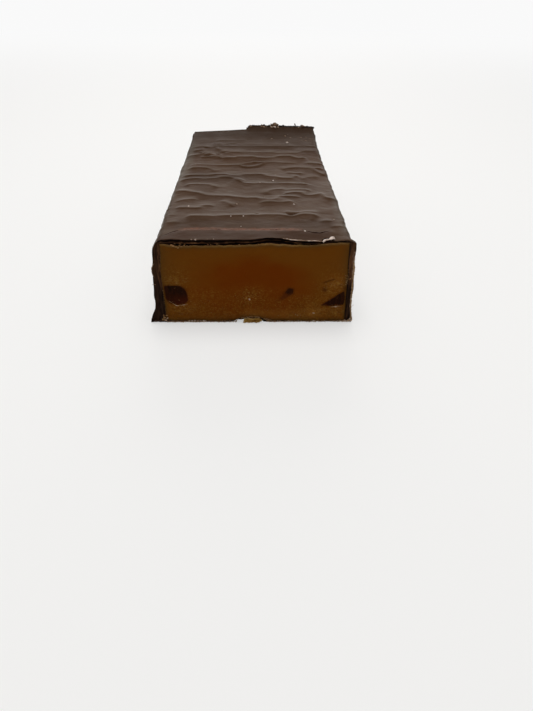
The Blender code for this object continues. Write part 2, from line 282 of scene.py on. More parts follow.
def top_field(x, y):
    high = np.zeros_like(x)
    for rise, near, far, points in WAVES:
        high += ridge_height(x, y, points, 1.05 * rise, 0.85 * near,
                             2.1 * far, power=1.2, tail=0.1)
        high += ridge_height(x, y, points, 0.05 + 0.08 * rise, 0.30, 0.60,
                             tail=0.0, taper=1.2)
    for rise, near, far, points in RINGS:
        high += ridge_height(x, y, points, rise, near, far, closed=True,
                             tail=0.0, power=1.3)
    for px, py, radius, deep in PITS:
        d2 = ((x - px) ** 2 + (y - py) ** 2) / radius ** 2
        high -= deep * np.exp(-d2)
        high += 0.25 * deep * np.exp(-(np.sqrt(d2) - 1.6) ** 2 / 0.25)
    high *= 1.0 - 0.22 * np.exp(-((y - 46.0) / 5.0) ** 2) \
        - 0.18 * np.exp(-((y - 79.0) / 6.0) ** 2)
    calm = 0.45 + 0.55 * (1.0 - smooth(82.0, 92.0, y))
    high += 0.10 * fbm(x / 9.0, y / 7.0, 0.0, 2, 5) * calm
    high += 0.035 * fbm(x / 2.3, y / 1.7, 0.0, 3, 9) * calm
    return high


def flank_ribs(along, depth, seed):
    """Flow ribs on a flank: upright under the top edge, leaning back
    towards the cut as they run down, with short ones between."""
    rng = np.random.default_rng(seed)
    high = np.zeros_like(along)
    at = -2.0
    while at < LENGTH + 10.0:
        lean = rng.uniform(6.5, 10.5)
        end = rng.uniform(16.5, 18.6)
        bow = rng.uniform(-0.5, 0.5)
        pts = []
        for k in range(7):
            d = 0.4 + (end - 0.4) * k / 6
            pts.append((at - lean * (d / 18.0) ** 2.1
                        + bow * math.sin(k * 1.1), d))
        high += ridge_height(along, depth, pts, rng.uniform(0.42, 0.62),
                             rng.uniform(1.5, 2.1), rng.uniform(1.9, 2.6),
                             tail=0.0, taper=3.0)
        gap = rng.uniform(4.8, 7.6)
        if rng.random() < 0.55:
            mid = at + gap * rng.uniform(0.42, 0.6)
            stop = rng.uniform(6.0, 12.0)
            pts = [(mid - 1.2 * (d / stop) ** 2 * stop / 6.0, d)
                   for d in np.linspace(0.6, stop, 4)]
            high += ridge_height(along, depth, pts,
                                 rng.uniform(0.22, 0.36), 1.0, 1.2,
                                 tail=0.0, taper=3.0)
        at += gap
    high += 0.07 * fbm(along / 4.0, depth / 5.0, 0.0, 3, seed + 3)
    return high


def flank(depth, side, along=0.0):
    """How far a flank stands out from the top's edge.  It bulges most at the
    cut, where the knife has pushed the coat's edges outward."""
    s = np.clip(depth / HEIGHT, 0.0, 1.0)
    calm = smooth(1.5, 12.0, along)
    bulge = np.where(side < 0, 1.6 - 0.85 * calm, 0.9 - 0.55 * calm) \
        - 0.45 * smooth(84.0, 104.0, along)
    spread = np.where(side < 0, 0.4, 0.6)
    foot = np.where(side < 0, 1.5, 0.6) + 0.4 * calm
    knife = np.exp(-(np.clip(along, 0.0, 99.0) / 2.4) ** 4)
    splay = np.where(side < 0,
                     -0.30 * np.exp(-((depth - 6.0) / 1.6) ** 2)
                     + 0.50 * smooth(11.0, 17.0, depth),
                     0.40 + 0.50 * np.exp(-((depth - 2.0) / 2.2) ** 2))
    splay = splay * smooth(0.2, 1.2, depth) + np.where(
        side < 0, 0.0, 0.42 * np.exp(-((depth - 0.5) / 0.9) ** 2)
        * smooth(-0.1, 0.4, depth))
    narrow = np.where(side < 0, 0.50 * smooth(28.0, 80.0, along)
                      - 0.40 * smooth(97.0, 105.0, along),
                      0.80 * smooth(24.0, 66.0, along)
                      - 0.55 * smooth(84.0, 103.0, along))
    knobs = 0.20 * fbm(along / 2.7, side * 3.0, 0.0, 3, 67) \
        * (1.0 - smooth(3.0, 10.0, depth)) * smooth(1.0, 5.0, along)
    return bulge * (1.0 - np.exp(-s / 0.11)) + spread * s - narrow \
        + foot * smooth(0.78, 1.0, s) + knife * splay + knobs


# The crack that runs across the top behind the cut, and how wide it gapes.
CRACK = [(-27.0, 0.6), (-24.9, 2.8), (-23.6, 4.1), (-22.3, 5.2),
         (-20.5, 6.1), (-18.0, 6.5), (-12.0, 6.8), (-4.0, 6.4), (4.0, 6.1),
         (11.5, 6.2), (13.0, 6.0), (14.2, 5.3), (15.4, 4.8), (16.6, 4.45),
         (17.6, 4.35), (19.0, 4.8), (20.6, 5.6), (21.6, 6.1), (26.0, 7.6)]
GAPE = [(-27.0, 0.03), (-25.0, 0.08), (-24.2, 0.12), (-21.6, 0.12),
        (-20.0, 0.02), (-11.0, 0.02), (-10.6, 0.09), (-9.6, 0.09),
        (-9.2, 0.02), (2.1, 0.02), (2.5, 0.08), (3.1, 0.02), (4.1, 0.02),
        (4.6, 0.08), (6.3, 0.07), (6.8, 0.02), (12.4, 0.02), (13.2, 0.03),
        (14.6, 0.03), (15.4, 0.10), (16.4, 0.17), (17.8, 0.17),
        (18.8, 0.14), (19.8, 0.08), (20.8, 0.04), (21.4, 0.0), (26.0, 0.0)]
# How far the top's front edge has broken back from the cut.
EDGE_BACK = [(-26.5, 0.10), (-24.0, 0.45), (-22.0, 0.75), (-19.0, 0.25),
             (-16.0, 0.38), (-10.0, 0.25), (-4.0, 0.48), (0.0, 0.38),
             (1.6, 0.80), (3.0, 1.25), (7.2, 1.35), (8.6, 0.90),
             (11.0, 0.42), (14.0, 0.15), (17.8, 0.08), (18.7, 1.60),
             (20.6, 1.70), (21.5, 0.35), (25.0, 0.30), (26.5, 0.10)]
# Undersides of the coat's top, and top of the slab, below the top's level.
CEILING = [(-24.9, 1.02), (-22.0, 1.30), (-20.0, 1.46), (-15.0, 1.46),
           (-8.0, 1.36), (0.0, 1.12), (4.0, 0.98), (8.0, 1.20),
           (12.0, 1.30), (17.0, 1.20), (20.0, 1.02), (24.6, 0.76)]
SLAB_TOP = [(-24.9, 1.06), (-22.5, 1.40), (-20.5, 1.84), (-15.0, 1.74),
            (-10.0, 1.66), (0.0, 1.42), (2.0, 1.16), (4.5, 1.12),
            (8.0, 1.42), (14.0, 1.52), (18.0, 1.36), (20.0, 1.16),
            (24.6, 0.84)]
# The slab's ragged lower edge, above the base.
SLAB_BASE = [(-24.9, 0.75), (-22.0, 0.52), (-19.0, 0.48), (-18.0, 0.62),
             (-14.0, 0.60), (-13.0, 0.44), (-8.0, 0.40), (-5.6, 0.48),
             (-5.1, 0.85), (-4.2, 1.22), (-3.3, 1.44), (-2.2, 1.52),
             (0.0, 1.54), (1.6, 1.44), (2.6, 1.05), (3.6, 0.76),
             (5.0, 0.50), (8.0, 0.40), (18.0, 0.42), (25.3, 0.55)]


def crack_line(x):
    return table(x, CRACK) + 0.13 * noise(x / 0.9, 3.1, 0.0, 21) \
        + 0.06 * noise(x / 0.35, 8.1, 0.0, 22)


def edge_back(x):
    return np.maximum(table(x, EDGE_BACK) + 0.10 * noise(x / 0.8, 0.0, 0, 31)
                      + 0.05 * noise(x / 0.3, 5.0, 0, 32), 0.0)


def slab_left(z):
    return -24.82 + 0.08 * noise(z / 3.0, 1.0, 0, 41) \
        + 0.42 * smooth(14.0, 23.0, z) - 0.10 * (1.0 - smooth(0.6, 3.0, z))


def slab_right(z):
    return SLAB_RIGHT_BASE - 0.02 - (SLAB_RIGHT_BASE - SLAB_RIGHT) * z / 24.0 \
        + 0.08 * noise(z / 2.5, 7.0, 0, 42)


def slab_top(x):
    return HEIGHT - table(x, SLAB_TOP) + 0.09 * noise(x / 1.3, 2.0, 0, 43) \
        + 0.05 * noise(x / 0.45, 4.0, 0, 44)


def slab_base(x):
    return table(x, SLAB_BASE) + 0.10 * noise(x / 1.1, 6.0, 0, 45) \
        + 0.07 * noise(x / 0.4, 9.0, 0, 46)


def ceiling(x):
    return HEIGHT - table(x, CEILING) + 0.07 * noise(x / 1.5, 3.0, 0, 47) \
        + 0.05 * noise(x / 0.4, 1.0, 0, 48)


# --------------------------------------------------------------- mesh helpers
def link(obj):
    bpy.context.scene.collection.objects.link(obj)
    return obj


def build(name, points, faces, material, masks=None, sharp=None):
    """A piece from arrays: points in bar mm, faces as index lists."""
    mesh = bpy.data.meshes.new(name)
    mesh.from_pydata(place(points).tolist(), [],
                     [list(map(int, f)) for f in faces])
    mesh.validate(clean_customdata=False)
    for key, values in (masks or {}).items():
        layer = mesh.attributes.new(key, 'FLOAT', 'POINT')
        layer.data.foreach_set("value", np.asarray(values, np.float32))
    mesh.materials.append(material)
    mesh.shade_smooth()
    if sharp is not None:
        mesh.set_sharp_from_angle(angle=math.radians(sharp))
    mesh.update()
    return link(bpy.data.objects.new(name, mesh))


def grid_faces(index, flip=False):
    """Quads over a 2-D array of vertex numbers."""
    a, b = index[:-1, :-1], index[1:, :-1]
    c, d = index[1:, 1:], index[:-1, 1:]
    quads = np.stack([a, b, c, d], -1).reshape(-1, 4)
    return quads[:, ::-1] if flip else quads


def lines(*parts):
    """Grid lines from (start, end, spacing) runs."""
    out = [parts[0][0]]
    for start, end, step in parts:
        n = max(1, int(round((end - start) / step)))
        out += [start + (end - start) * k / n for k in range(1, n + 1)]
    return np.array(out)


# ------------------------------------------------------------------- the coat
def swell_top(x, y):
    """The top's broad form: falling to the margins, rising to the far
    right."""
    rise = table(x, [(-25.0, -0.70), (-3.0, 0.42), (8.0, 0.30), (25.0, -0.10)])
    return rise * smooth(LENGTH - 17.0, LENGTH - 1.0, y) \
        - 0.30 * smooth(18.5, 25.0, np.abs(x)) * smooth(0.5, 4.0, y) \
        * (1.0 - smooth(LENGTH - 22.0, LENGTH - 7.0, y)) \
        - (0.24 * (1.0 - smooth(-7.0, 3.0, x)) + 0.45 * smooth(3.0, 10.0, x)
           * (1.0 - 0.6 * smooth(20.5, 24.5, x))) * (1.0 - smooth(0.0, 6.5, y))


def coat_surface(x0, y0, z0, kind):
    """The coat's outer surface over its box: rounded, flared, rippled and
    ribbed.  kind is 0 on the top, 1 on the flanks, 2 on the far end."""
    inner = np.array([WIDTH / 2 - EDGE, LENGTH - EDGE, HEIGHT - EDGE])
    p = np.stack([x0, y0, z0], -1)
    near = np.stack([np.clip(x0, -inner[0], inner[0]),
                     np.minimum(y0, inner[1]), np.minimum(z0, inner[2])], -1)
    away = p - near
    size = np.linalg.norm(away, axis=-1)
    big = np.abs(away).max(-1)
    # the upright corners are nearly square, the top edges round
    plan = (np.abs(away[:, 0]) ** 6 + np.abs(away[:, 1]) ** 6) ** (1.0 / 6.0)
    crisp = 2.2 + 3.8 * smooth(LENGTH - 13.0, LENGTH - 4.0, y0)
    round_off = (plan ** crisp + np.abs(away[:, 2]) ** crisp) ** (1.0 / crisp)
    scale = np.where(size > 1e-9, big / np.maximum(round_off, 1e-9), 0.0)
    normal = away / np.maximum(size, 1e-9)[:, None]
    q = near + away * scale[:, None]
    x, y, z = q[:, 0], q[:, 1], q[:, 2]

    depth = HEIGHT - z
    s = np.clip(depth / HEIGHT, 0.0, 1.0)
    side = np.where(x0 < 0, -1.0, 1.0)
    out = smooth(0.80, 1.0, np.abs(x0) / (WIDTH / 2))
    wx, wy, wz = normal[:, 0] ** 2, normal[:, 1] ** 2, normal[:, 2] ** 2

    # flanks
    ribs = np.zeros_like(x)
    for sign, seed in ((-1.0, 11), (1.0, 12)):
        use = (side == sign) & (wx > 1e-3)
        ribs[use] = flank_ribs(y[use], depth[use], seed) - 0.18
    fade = smooth(0.02, 0.10, s) * (1.0 - smooth(0.70, 0.80, s))
    ragged = (0.30 * fbm(y / 3.1, side * 4.0, 0.0, 3, 61)
              + 0.12 * noise(y / 0.7, z / 0.8, side, 62))
    chip = smooth(86.0, 104.0, y) * np.abs(noise(y / 1.3, 2.0, side, 63))
    low = smooth(0.80, 0.985, s)
    ragged = np.minimum(ragged * low - 0.9 * chip * low, 0.15)
    shift = flank(depth, side, y0)
    relief = ribs * fade * wx
    x = x + normal[:, 0] * relief + side * out * shift \
        + side * ragged * wx
    y = y + normal[:, 1] * relief

    # far end
    end = wy * smooth(LENGTH - 4.0, LENGTH - 0.5, y)
    swell = 0.45 * np.sin(math.pi * np.minimum(1.0, s * 1.1)) \
        + 0.9 * smooth(0.78, 1.0, s)
    upright = ridge_end(x, depth)
    y = y + end * (swell + upright * smooth(0.04, 0.14, s)
                   * (1.0 - smooth(0.66, 0.78, s))
                   + low * (0.25 * fbm(x / 2.0, 3.0, 0.0, 3, 65)
                            - 0.5 * np.abs(noise(x / 1.1, 8.0, 0.0, 66))))

    # top: a soft fall to the margins, and a rise to the far right
    on_top = smooth(HEIGHT - EDGE - 0.4, HEIGHT, z)
    z = z + on_top * top_field(x, y)
    z = z + on_top * swell_top(x, y)

    # torn lip at the far right
    jag = 0.30 * noise(x / 1.7, 2.0, 0.0, 71) + 0.20 * noise(
        x / 0.62, 6.0, 0.0, 72) + 0.12 * noise(x / 0.27, 4.0, 0.0, 74)
    span = smooth(LIP_FROM - 0.5, LIP_FROM + 1.3, x) * \
        (1.0 - smooth(LIP_TO, LIP_TO + 1.1, np.abs(x)))
    upper = np.clip((y0 - (LENGTH - 5.0)) / 5.0, 0.0, 1.0)
    under = np.clip(1.0 - (HEIGHT - z0) / 2.4, 0.0, 1.0)
    is_end = kind == 2
    pull = np.where(is_end, under ** 1.3, upper ** 2.6)
    lift = np.where(is_end, under ** 1.6, upper ** 2.2)
    pull = np.where(kind == 1, upper ** 2.6 * under ** 1.3, pull)
    lift = np.where(kind == 1, upper ** 2.2 * under ** 1.6, lift)
    y = y + span * pull * (LIP_REACH + jag)
    z = z + span * lift * (LIP_RISE + 0.6 * jag)
    z = np.where(z0 < 1e-6, 0.0, z)
    return x, y, z, normal


def ridge_end(x, depth):
    """Upright flow ribs on the far end."""
    turn = x / 3.1 + 0.8 * noise(x / 5.0, 1.0, 0, 81) + depth / 26.0
    rib = (0.5 + 0.5 * np.cos(2 * math.pi * turn / 1.9)) ** 1.5
    return 0.42 * (rib - 0.4) + 0.06 * fbm(x / 3.0, depth / 4.0, 0.0, 3, 82)


def make_coat(material, broken):
    # close lines along the bar, because the waves run across it
    across_step, along_step, down_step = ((0.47, 0.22, 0.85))
    xs = lines((-WIDTH / 2, -WIDTH / 2 + EDGE, 0.29),
               (-WIDTH / 2 + EDGE, WIDTH / 2 - EDGE, across_step),
               (WIDTH / 2 - EDGE, WIDTH / 2, 0.29))
    # the crack is a bundle of lines that is bent to follow it
    ys = lines((0.0, 0.8, 0.13), (0.8, 6.4, 0.25))
    bundle = np.array([-0.32, -0.16, -0.07, 0.0, 0.07, 0.16, 0.32]) + 7.0
    ys = np.concatenate([ys, bundle,
                         lines((7.6, 12.0, 0.24),
                               (12.0, LENGTH - 22.0, along_step),
                               (LENGTH - 22.0, LENGTH - 4.0,
                                along_step * 1.5),
                               (LENGTH - 4.0, LENGTH - EDGE, 0.26),
                               (LENGTH - EDGE, LENGTH, 0.17))])
    zs = lines((0.0, 1.2, 0.30), (1.2, HEIGHT - 2.9, down_step),
               (HEIGHT - 2.9, HEIGHT - EDGE, 0.40),
               (HEIGHT - EDGE, HEIGHT, 0.28))
    nx, ny, nz = len(xs), len(ys), len(zs)

    box, kinds = [], []

    def add(x, y, z, kind):
        start = sum(len(b) for b in box)
        x, y, z = np.broadcast_arrays(x, y, z)
        box.append(np.stack([x.ravel(), y.ravel(), z.ravel()], -1))
        kinds.append(np.full(x.size, kind))
        return (start + np.arange(x.size)).reshape(x.shape)

    top = add(xs[:, None], ys[None, :], HEIGHT, 0)
    left = np.empty((nz, ny), int)
    left[:-1] = add(-WIDTH / 2, ys[None, :], zs[:-1, None], 1)
    left[-1] = top[0]
    right = np.empty((nz, ny), int)
    right[:-1] = add(WIDTH / 2, ys[None, :], zs[:-1, None], 1)
    right[-1] = top[-1]
    end = np.empty((nx, nz), int)
    end[1:-1, :-1] = add(xs[1:-1, None], LENGTH, zs[None, :-1], 2)
    end[:, -1] = top[:, -1]
    end[0, :], end[-1, :] = left[:, -1], right[:, -1]
    front = np.empty(nx, int)
    front[1:-1] = add(xs[1:-1], 0.0, 0.0, 3)
    front[0], front[-1] = left[0, 0], right[0, 0]

    b = np.vstack(box)
    kind = np.concatenate(kinds)
    x0, y0, z0 = b[:, 0], b[:, 1], b[:, 2]

    # bend the lines near the cut to follow the crack and the broken edge
    across = np.clip(x0 * 1.04, -26.5, 26.5)
    crack = crack_line(across)
    pull = np.where(y0 < 7.0, np.clip((y0 - 1.0) / 5.4, 0, 1),
                    np.clip((13.5 - y0) / 5.9, 0, 1))
    offset = y0 - 7.0
    in_bundle = np.abs(offset) < 0.33
    gape = table(across, GAPE) * (1.0 + 0.45 * noise(across / 0.5, 2.0, 0, 23))
    fine = np.interp(np.abs(offset), [0.0, 0.07, 0.16, 0.32],
                     [0.0, 1.0, 1.6, 3.4])
    opened = np.interp(np.abs(offset), [0.0, 0.07, 0.16, 0.32],
                       [0.0, 1.0, 1.15, 1.15])
    wide = np.sign(offset) * np.maximum(
        np.abs(offset), opened * np.maximum(gape, 0.05)
        + np.clip(np.abs(offset) - 0.07, 0, 1))
    y1 = np.where(in_bundle, 7.0 + wide, y0)
    y1 = y1 + pull * (crack - 7.0)
    down = smooth(HEIGHT - 9.0, HEIGHT - 3.0, z0)   # the crack dies on a flank
    y1 = np.where(kind == 3, y0, y0 + (y1 - y0) * np.where(kind == 0, 1.0,
                                                           down))
    rim_fall = np.clip(1.0 - y0 / 2.4, 0.0, 1.0)
    back = edge_back(across) * np.where(kind == 0, 1.0,
                                        smooth(HEIGHT - 2.5, HEIGHT, z0))
    y1 = y1 + rim_fall ** 1.3 * np.where(kind == 3, 0.0, back)

    x, y, z, normal = coat_surface(x0, y1, z0, kind)
    bottom_front = kind == 3
    x[bottom_front] = np.interp(
        x0[bottom_front], [-WIDTH / 2, WIDTH / 2],
        [x[left[0, 0]], x[right[0, 0]]])
    y[bottom_front] = 0.0
    y[bottom_front] += 0.35 * np.abs(noise(x0[bottom_front] / 0.9, 4.0, 0, 51))
    y[bottom_front] += 1.3 * smooth(-5.3, -4.7, x0[bottom_front]) * \
        (1 - smooth(2.3, 3.2, x0[bottom_front]))
    z[bottom_front] = 0.0

    # the crack's groove, the loosened strip before it, the bent front edge
    skin = np.where(kind == 0, 1.0, np.where(kind == 1, down, 0.0))
    cut_in = np.interp(np.abs(offset), [0.0, 0.07, 0.16], [1.0, 0.75, 0.0])
    deep = smooth(0.0, 0.10, gape) * (0.10 + 2.2 * gape)
    groove = in_bundle * cut_in * deep * skin
    x -= normal[:, 0] * groove
    z -= np.maximum(normal[:, 2], np.where(kind == 0, 1.0, 0.0)) * groove
    ahead = smooth(0.05, 0.5, table(across, CRACK) - y1) * \
        (1.0 - smooth(20.0, 22.0, across))
    z += np.where(kind == 0, 0.10 * ahead, 0.0)
    lip = np.exp(-((np.abs(offset) - 0.16) / 0.12) ** 2) * in_bundle
    z += np.where(kind == 0, 0.05 * lip * (gape > 0.02), 0.0)
    bend = (1.0 - np.clip(y0 / 0.4, 0, 1)) ** 2
    z -= np.where(kind == 0, 0.07 * bend, 0.0)

    # masks for the material
    near_crack = (1.0 - smooth(0.45, 1.15, np.abs(y1 - crack - 0.22))) \
        * skin * smooth(-22.5, -18.0, across) \
        * (1.0 - smooth(11.5, 14.0, across))
    warm = np.where(y1 < 12.0, near_crack, 0.0)
    # painted shade inside the crack where it gapes
    crack_shade = in_bundle * np.interp(
        np.abs(offset), [0.0, 0.07, 0.16, 0.3], [1.0, 1.0, 0.55, 0.0]) * \
        skin * smooth(0.03, 0.09, gape)
    strip = ahead * np.where(kind == 0, 1.0, 0.0)
    torn = span_mask(x, y, z)
    gloss = 1.0 - smooth(0.25, 0.95, np.where(kind == 0, 1.0, normal[:, 2]))
    upper = smooth(HEIGHT - 3.2, HEIGHT - 1.6, z0)
    # painted shade along the far edge of the top, narrower on the lip
    on_lip = smooth(LIP_FROM - 0.4, LIP_FROM + 0.4, x)
    rim = upper * ((1.0 - on_lip) * 0.65 * smooth(LENGTH - 1.9, LENGTH - 0.7,
                                                  y1)
                   + on_lip * 0.9 * smooth(LENGTH - 1.0, LENGTH - 0.4, y1))
    # painted shade: darker towards the far end and along the far rim, on the
    # fronts of waves behind the crack and near 47 mm, near the cut and at the
    # right corner
    shade = np.maximum((0.36 * smooth(64.0, 88.0, y1)
                        + 0.20 * smooth(90.0, 100.0, y1))
                       * (kind != 3) * upper,
                       rim)
    shade = np.maximum(shade, upper * 0.20 * smooth(6.6, 8.0, y1)
                       * (1.0 - smooth(11.5, 14.5, y1))
                       * (1.0 - smooth(20.0, 23.0, np.abs(x))))
    shade = np.maximum(shade, upper * 0.26 * np.exp(-((y1 - 47.0) / 6.0) ** 2)
                       * (1.0 - smooth(-8.0, 8.0, x))
                       * smooth(-25.0, -20.0, x))
    shade = np.maximum(shade, upper * 0.10 * (kind == 0)
                       * (1.0 - smooth(3.8, 5.4, y1)))
    # two patches in the middle of the top with painted shade and less sheen
    shaded_dull_patch = upper * np.maximum(
        np.exp(-((x + 1.0) / 6.5) ** 2 - ((y1 - 37.0) / 8.0) ** 2),
        np.exp(-((x + 15.0) / 3.8) ** 2 - ((y1 - 33.0) / 5.0) ** 2))
    shade = np.maximum(shade, 0.10 * shaded_dull_patch)
    shade = np.maximum(shade, 0.22 * smooth(24.3, 25.4, x)
                       * (1.0 - smooth(0.8, 2.6, y1)) * smooth(17.0, 19.5, z)
                       * (kind != 3))
    hush = np.maximum(smooth(30.0, 64.0, y1) * upper, 0.65 * shaded_dull_patch)
    # where the top's relief turns: painted highlight on the waves' crests and
    # painted shade in the folds by them
    turn = np.zeros(len(x))
    tops = kind == 0
    tx, ty = x[tops], y[tops]
    turn[tops] = top_field(tx, ty) - 0.5 * (top_field(tx, ty + 0.42)
                                            + top_field(tx, ty - 0.42))
    crest = np.clip(turn / 0.08, 0, 1) * smooth(7.5, 9.5, y1)
    fold = np.clip(-turn / 0.07, 0, 1) * smooth(7.5, 9.5, y1)
    # painted sheen: paler and greyer along the top's edges where it rolls off,
    # and in a band high on the left flank
    broad = np.where(x0 > 0, 3.4 - 1.6 * smooth(20.0, 50.0, y1)
                     + 0.6 * smooth(66.0, 76.0, y1),
                     1.6 + 3.4 * smooth(38.0, 56.0, y1)
                     * (1.0 - 0.35 * smooth(84.0, 94.0, y1)))
    margin_sheen = smooth(-1.0, 0.15, (np.abs(x) - 25.0) / broad) * upper * \
        smooth(1.5, 6.0, y1) * (1.0 - 0.60 * smooth(80.0, 98.0, y1)) * \
        (0.75 + 0.35 * noise(y1 / 3.0, x / 1.5, 0.0, 68))
    sheen = smooth(42.0, 56.0, y1) * (1.0 - smooth(86.0, 94.0, y1)) \
        * (x0 < 0)
    margin_sheen = margin_sheen * (1.0 + 0.35 * sheen) + 0.40 * sheen * (1.0 - upper) \
        * smooth(HEIGHT - 9.0, HEIGHT - 3.0, z0) * (kind != 3)

    pts = [np.stack([x, y, z], -1)]
    masks = {"warm": [warm], "cleft_shade": [crack_shade.astype(float)],
             "wall": [np.zeros(len(x))], "pale": [torn],
             "strip": [strip], "gloss": [gloss], "shade": [shade],
             "level": [np.zeros(len(x))], "hush": [hush],
             "margin_sheen": [margin_sheen], "crest": [crest], "fold": [fold]}
    total = len(x)

    # the broken and cut section between the outside and the slab
    loop = np.concatenate([left[:-1, 0], top[:, 0], right[::-1, 0][1:],
                           front[::-1][1:-1]])
    ox, oy, oz = x[loop], y[loop], z[loop]
    bx, bz = x0[loop], z0[loop]
    share_x = (bx + WIDTH / 2) / WIDTH
    share_z = np.clip(bz / HEIGHT, 0, 1)
    iz_low = slab_base(-24.8 + 50.0 * share_x) - 0.02
    guess_x = -24.8 + (25.0 + 24.8) * share_x
    iz_top = ceiling(guess_x)
    iz = iz_low + (iz_top - iz_low) * share_z
    ix = slab_left(iz) + (slab_right(iz) - slab_left(iz)) * share_x
    iz = np.where((bz > HEIGHT - 1e-6), ceiling(ix),
                  np.where(bz < 1e-6, np.minimum(slab_base(ix) - 0.02, 1.6),
                           iz))
    is_top = bz > HEIGHT - 1e-6
    is_left = bx < -WIDTH / 2 + 1e-6
    is_right = bx > WIDTH / 2 - 1e-6
    is_base = bz < 1e-6
    rows = 14
    previous = loop
    faces = [grid_faces(top), grid_faces(left, flip=True), grid_faces(right),
             grid_faces(end)]
    rim_faces = []
    for r in range(1, rows + 1):
        t = r / rows
        te = t ** 0.9
        px = ox + (ix - ox) * te
        pz = oz + (iz - oz) * te
        streak = 0.10 * noise(px / 0.26, pz / 2.6, 0, 52) + \
            0.07 * noise(px / 0.6, pz / 0.9, 0, 53)
        crumble = 0.15 * fbm(px / 0.8, pz / 0.35, 0.0, 3, 54)
        step_back = 0.34 * smooth(0.03, 0.16, t) - \
            0.40 * smooth(0.44, 0.56, t) + 0.34 * smooth(0.86, 0.97, t)
        py_side = 0.05 + streak * 1.5 + 0.03 * t \
            + 0.10 * np.abs(noise(px / 1.1, pz / 3.0, 0, 57))
        py_top = np.maximum(oy, 0.05) + 0.02 + step_back \
            + np.abs(crumble) * smooth(0.0, 0.25, t)
        py_base = oy * (1 - t) + 0.10 * t + crumble
        py = np.where(is_top, py_top, np.where(is_base, py_base, py_side))
        # meet softly at the corners of the section
        corner = smooth(WIDTH / 2 - 2.0, WIDTH / 2, np.abs(bx)) * is_top
        py = py * (1 - corner) + py_side * corner
        py = py + 0.10 * smooth(0.80, 0.90, t) * is_right
        if r == rows:
            py = np.where(is_top, np.clip(py, 0.05, 2.0), py)
            py = np.where(is_left | is_right, 0.06, py)
        if r == 1:
            py = np.where(is_left | is_right, 0.05, py)
        py = np.maximum(py, -0.05)
        new = total + np.arange(len(loop))
        total += len(loop)
        pts.append(np.stack([px, py, pz], -1))
        masks["warm"].append(np.zeros(len(loop)))
        masks["cleft_shade"].append(np.zeros(len(loop)))
        # the right-hand wall is brownest high up, the left by the slab; where
        # wall is low the section takes the dark tone of painted shade
        wall = np.where(is_right, (
            0.14 + 0.84 * smooth(10.5, 14.0, pz)
            * (1.0 - 0.40 * smooth(18.5, 21.5, pz))
            + 0.30 * smooth(0.50, 0.66, t) * (1.0 - smooth(3.0, 8.0, pz)))
                        * (1.0 - 0.9 * smooth(0.80, 0.92, t)), np.where(
            is_left, 0.12 + 0.20 * smooth(11.0, 15.0, pz)
            + 0.45 * smooth(0.45, 0.75, t) * smooth(9.0, 14.0, pz), 0.0))
        # under the top only a band shows the brown layer; the rest of the
        # section is painted shade
        band = smooth(0.44, 0.54, t) * (1.0 - smooth(0.82, 0.92, t))
        plenty = table(px, [(-25.0, 0.9), (-19.0, 1.0), (-6.0, 1.0),
                            (0.0, 0.45), (7.0, 0.45), (9.0, 0.9),
                            (15.0, 0.8), (19.0, 0.35), (25.0, 0.3)])
        wall = np.where(is_top, band * plenty * (0.25 + 0.75 * smooth(
            0.30, 0.62, 0.5 + 0.5 * noise(px / 0.9, t * 2.0, 0, 56))), wall)
        masks["wall"].append(wall)
        edge_pale = np.where(is_right, 1.0 - smooth(0.08, 0.18, t)
                             + 0.40 * smooth(0.10, 0.20, t)
                             * (1.0 - smooth(0.30, 0.44, t))
                             * smooth(11.0, 14.0, pz), 0.0)
        streaky = 0.5 + 0.5 * noise(px / 0.25, pz / 0.55, 0, 55)
        edge_pale = edge_pale * (0.25 + 0.75 * smooth(0.25, 0.6, streaky)) * \
            (1.0 - smooth(HEIGHT - 4.2, HEIGHT - 2.6, pz))
        edge_pale = np.where(is_base, 0.55 * smooth(
            0.25, 0.7, 0.5 + 0.5 * noise(px / 0.5, t, 0, 58))
            * (1.0 - smooth(-5.6, -5.0, px) * (1 - smooth(2.6, 3.4, px))),
            edge_pale)
        masks["pale"].append(np.clip(edge_pale, 0, 1))
        for key in ("strip", "gloss", "shade", "hush", "margin_sheen", "crest",
                    "fold"):
            masks[key].append(np.zeros(len(loop)))
        masks["level"].append(is_top.astype(float))
        nxt = np.roll(np.arange(len(loop)), -1)
        rim_faces.append(np.stack([previous, new, new[nxt], previous[nxt]],
                                  -1)[:, ::-1])
        previous = new

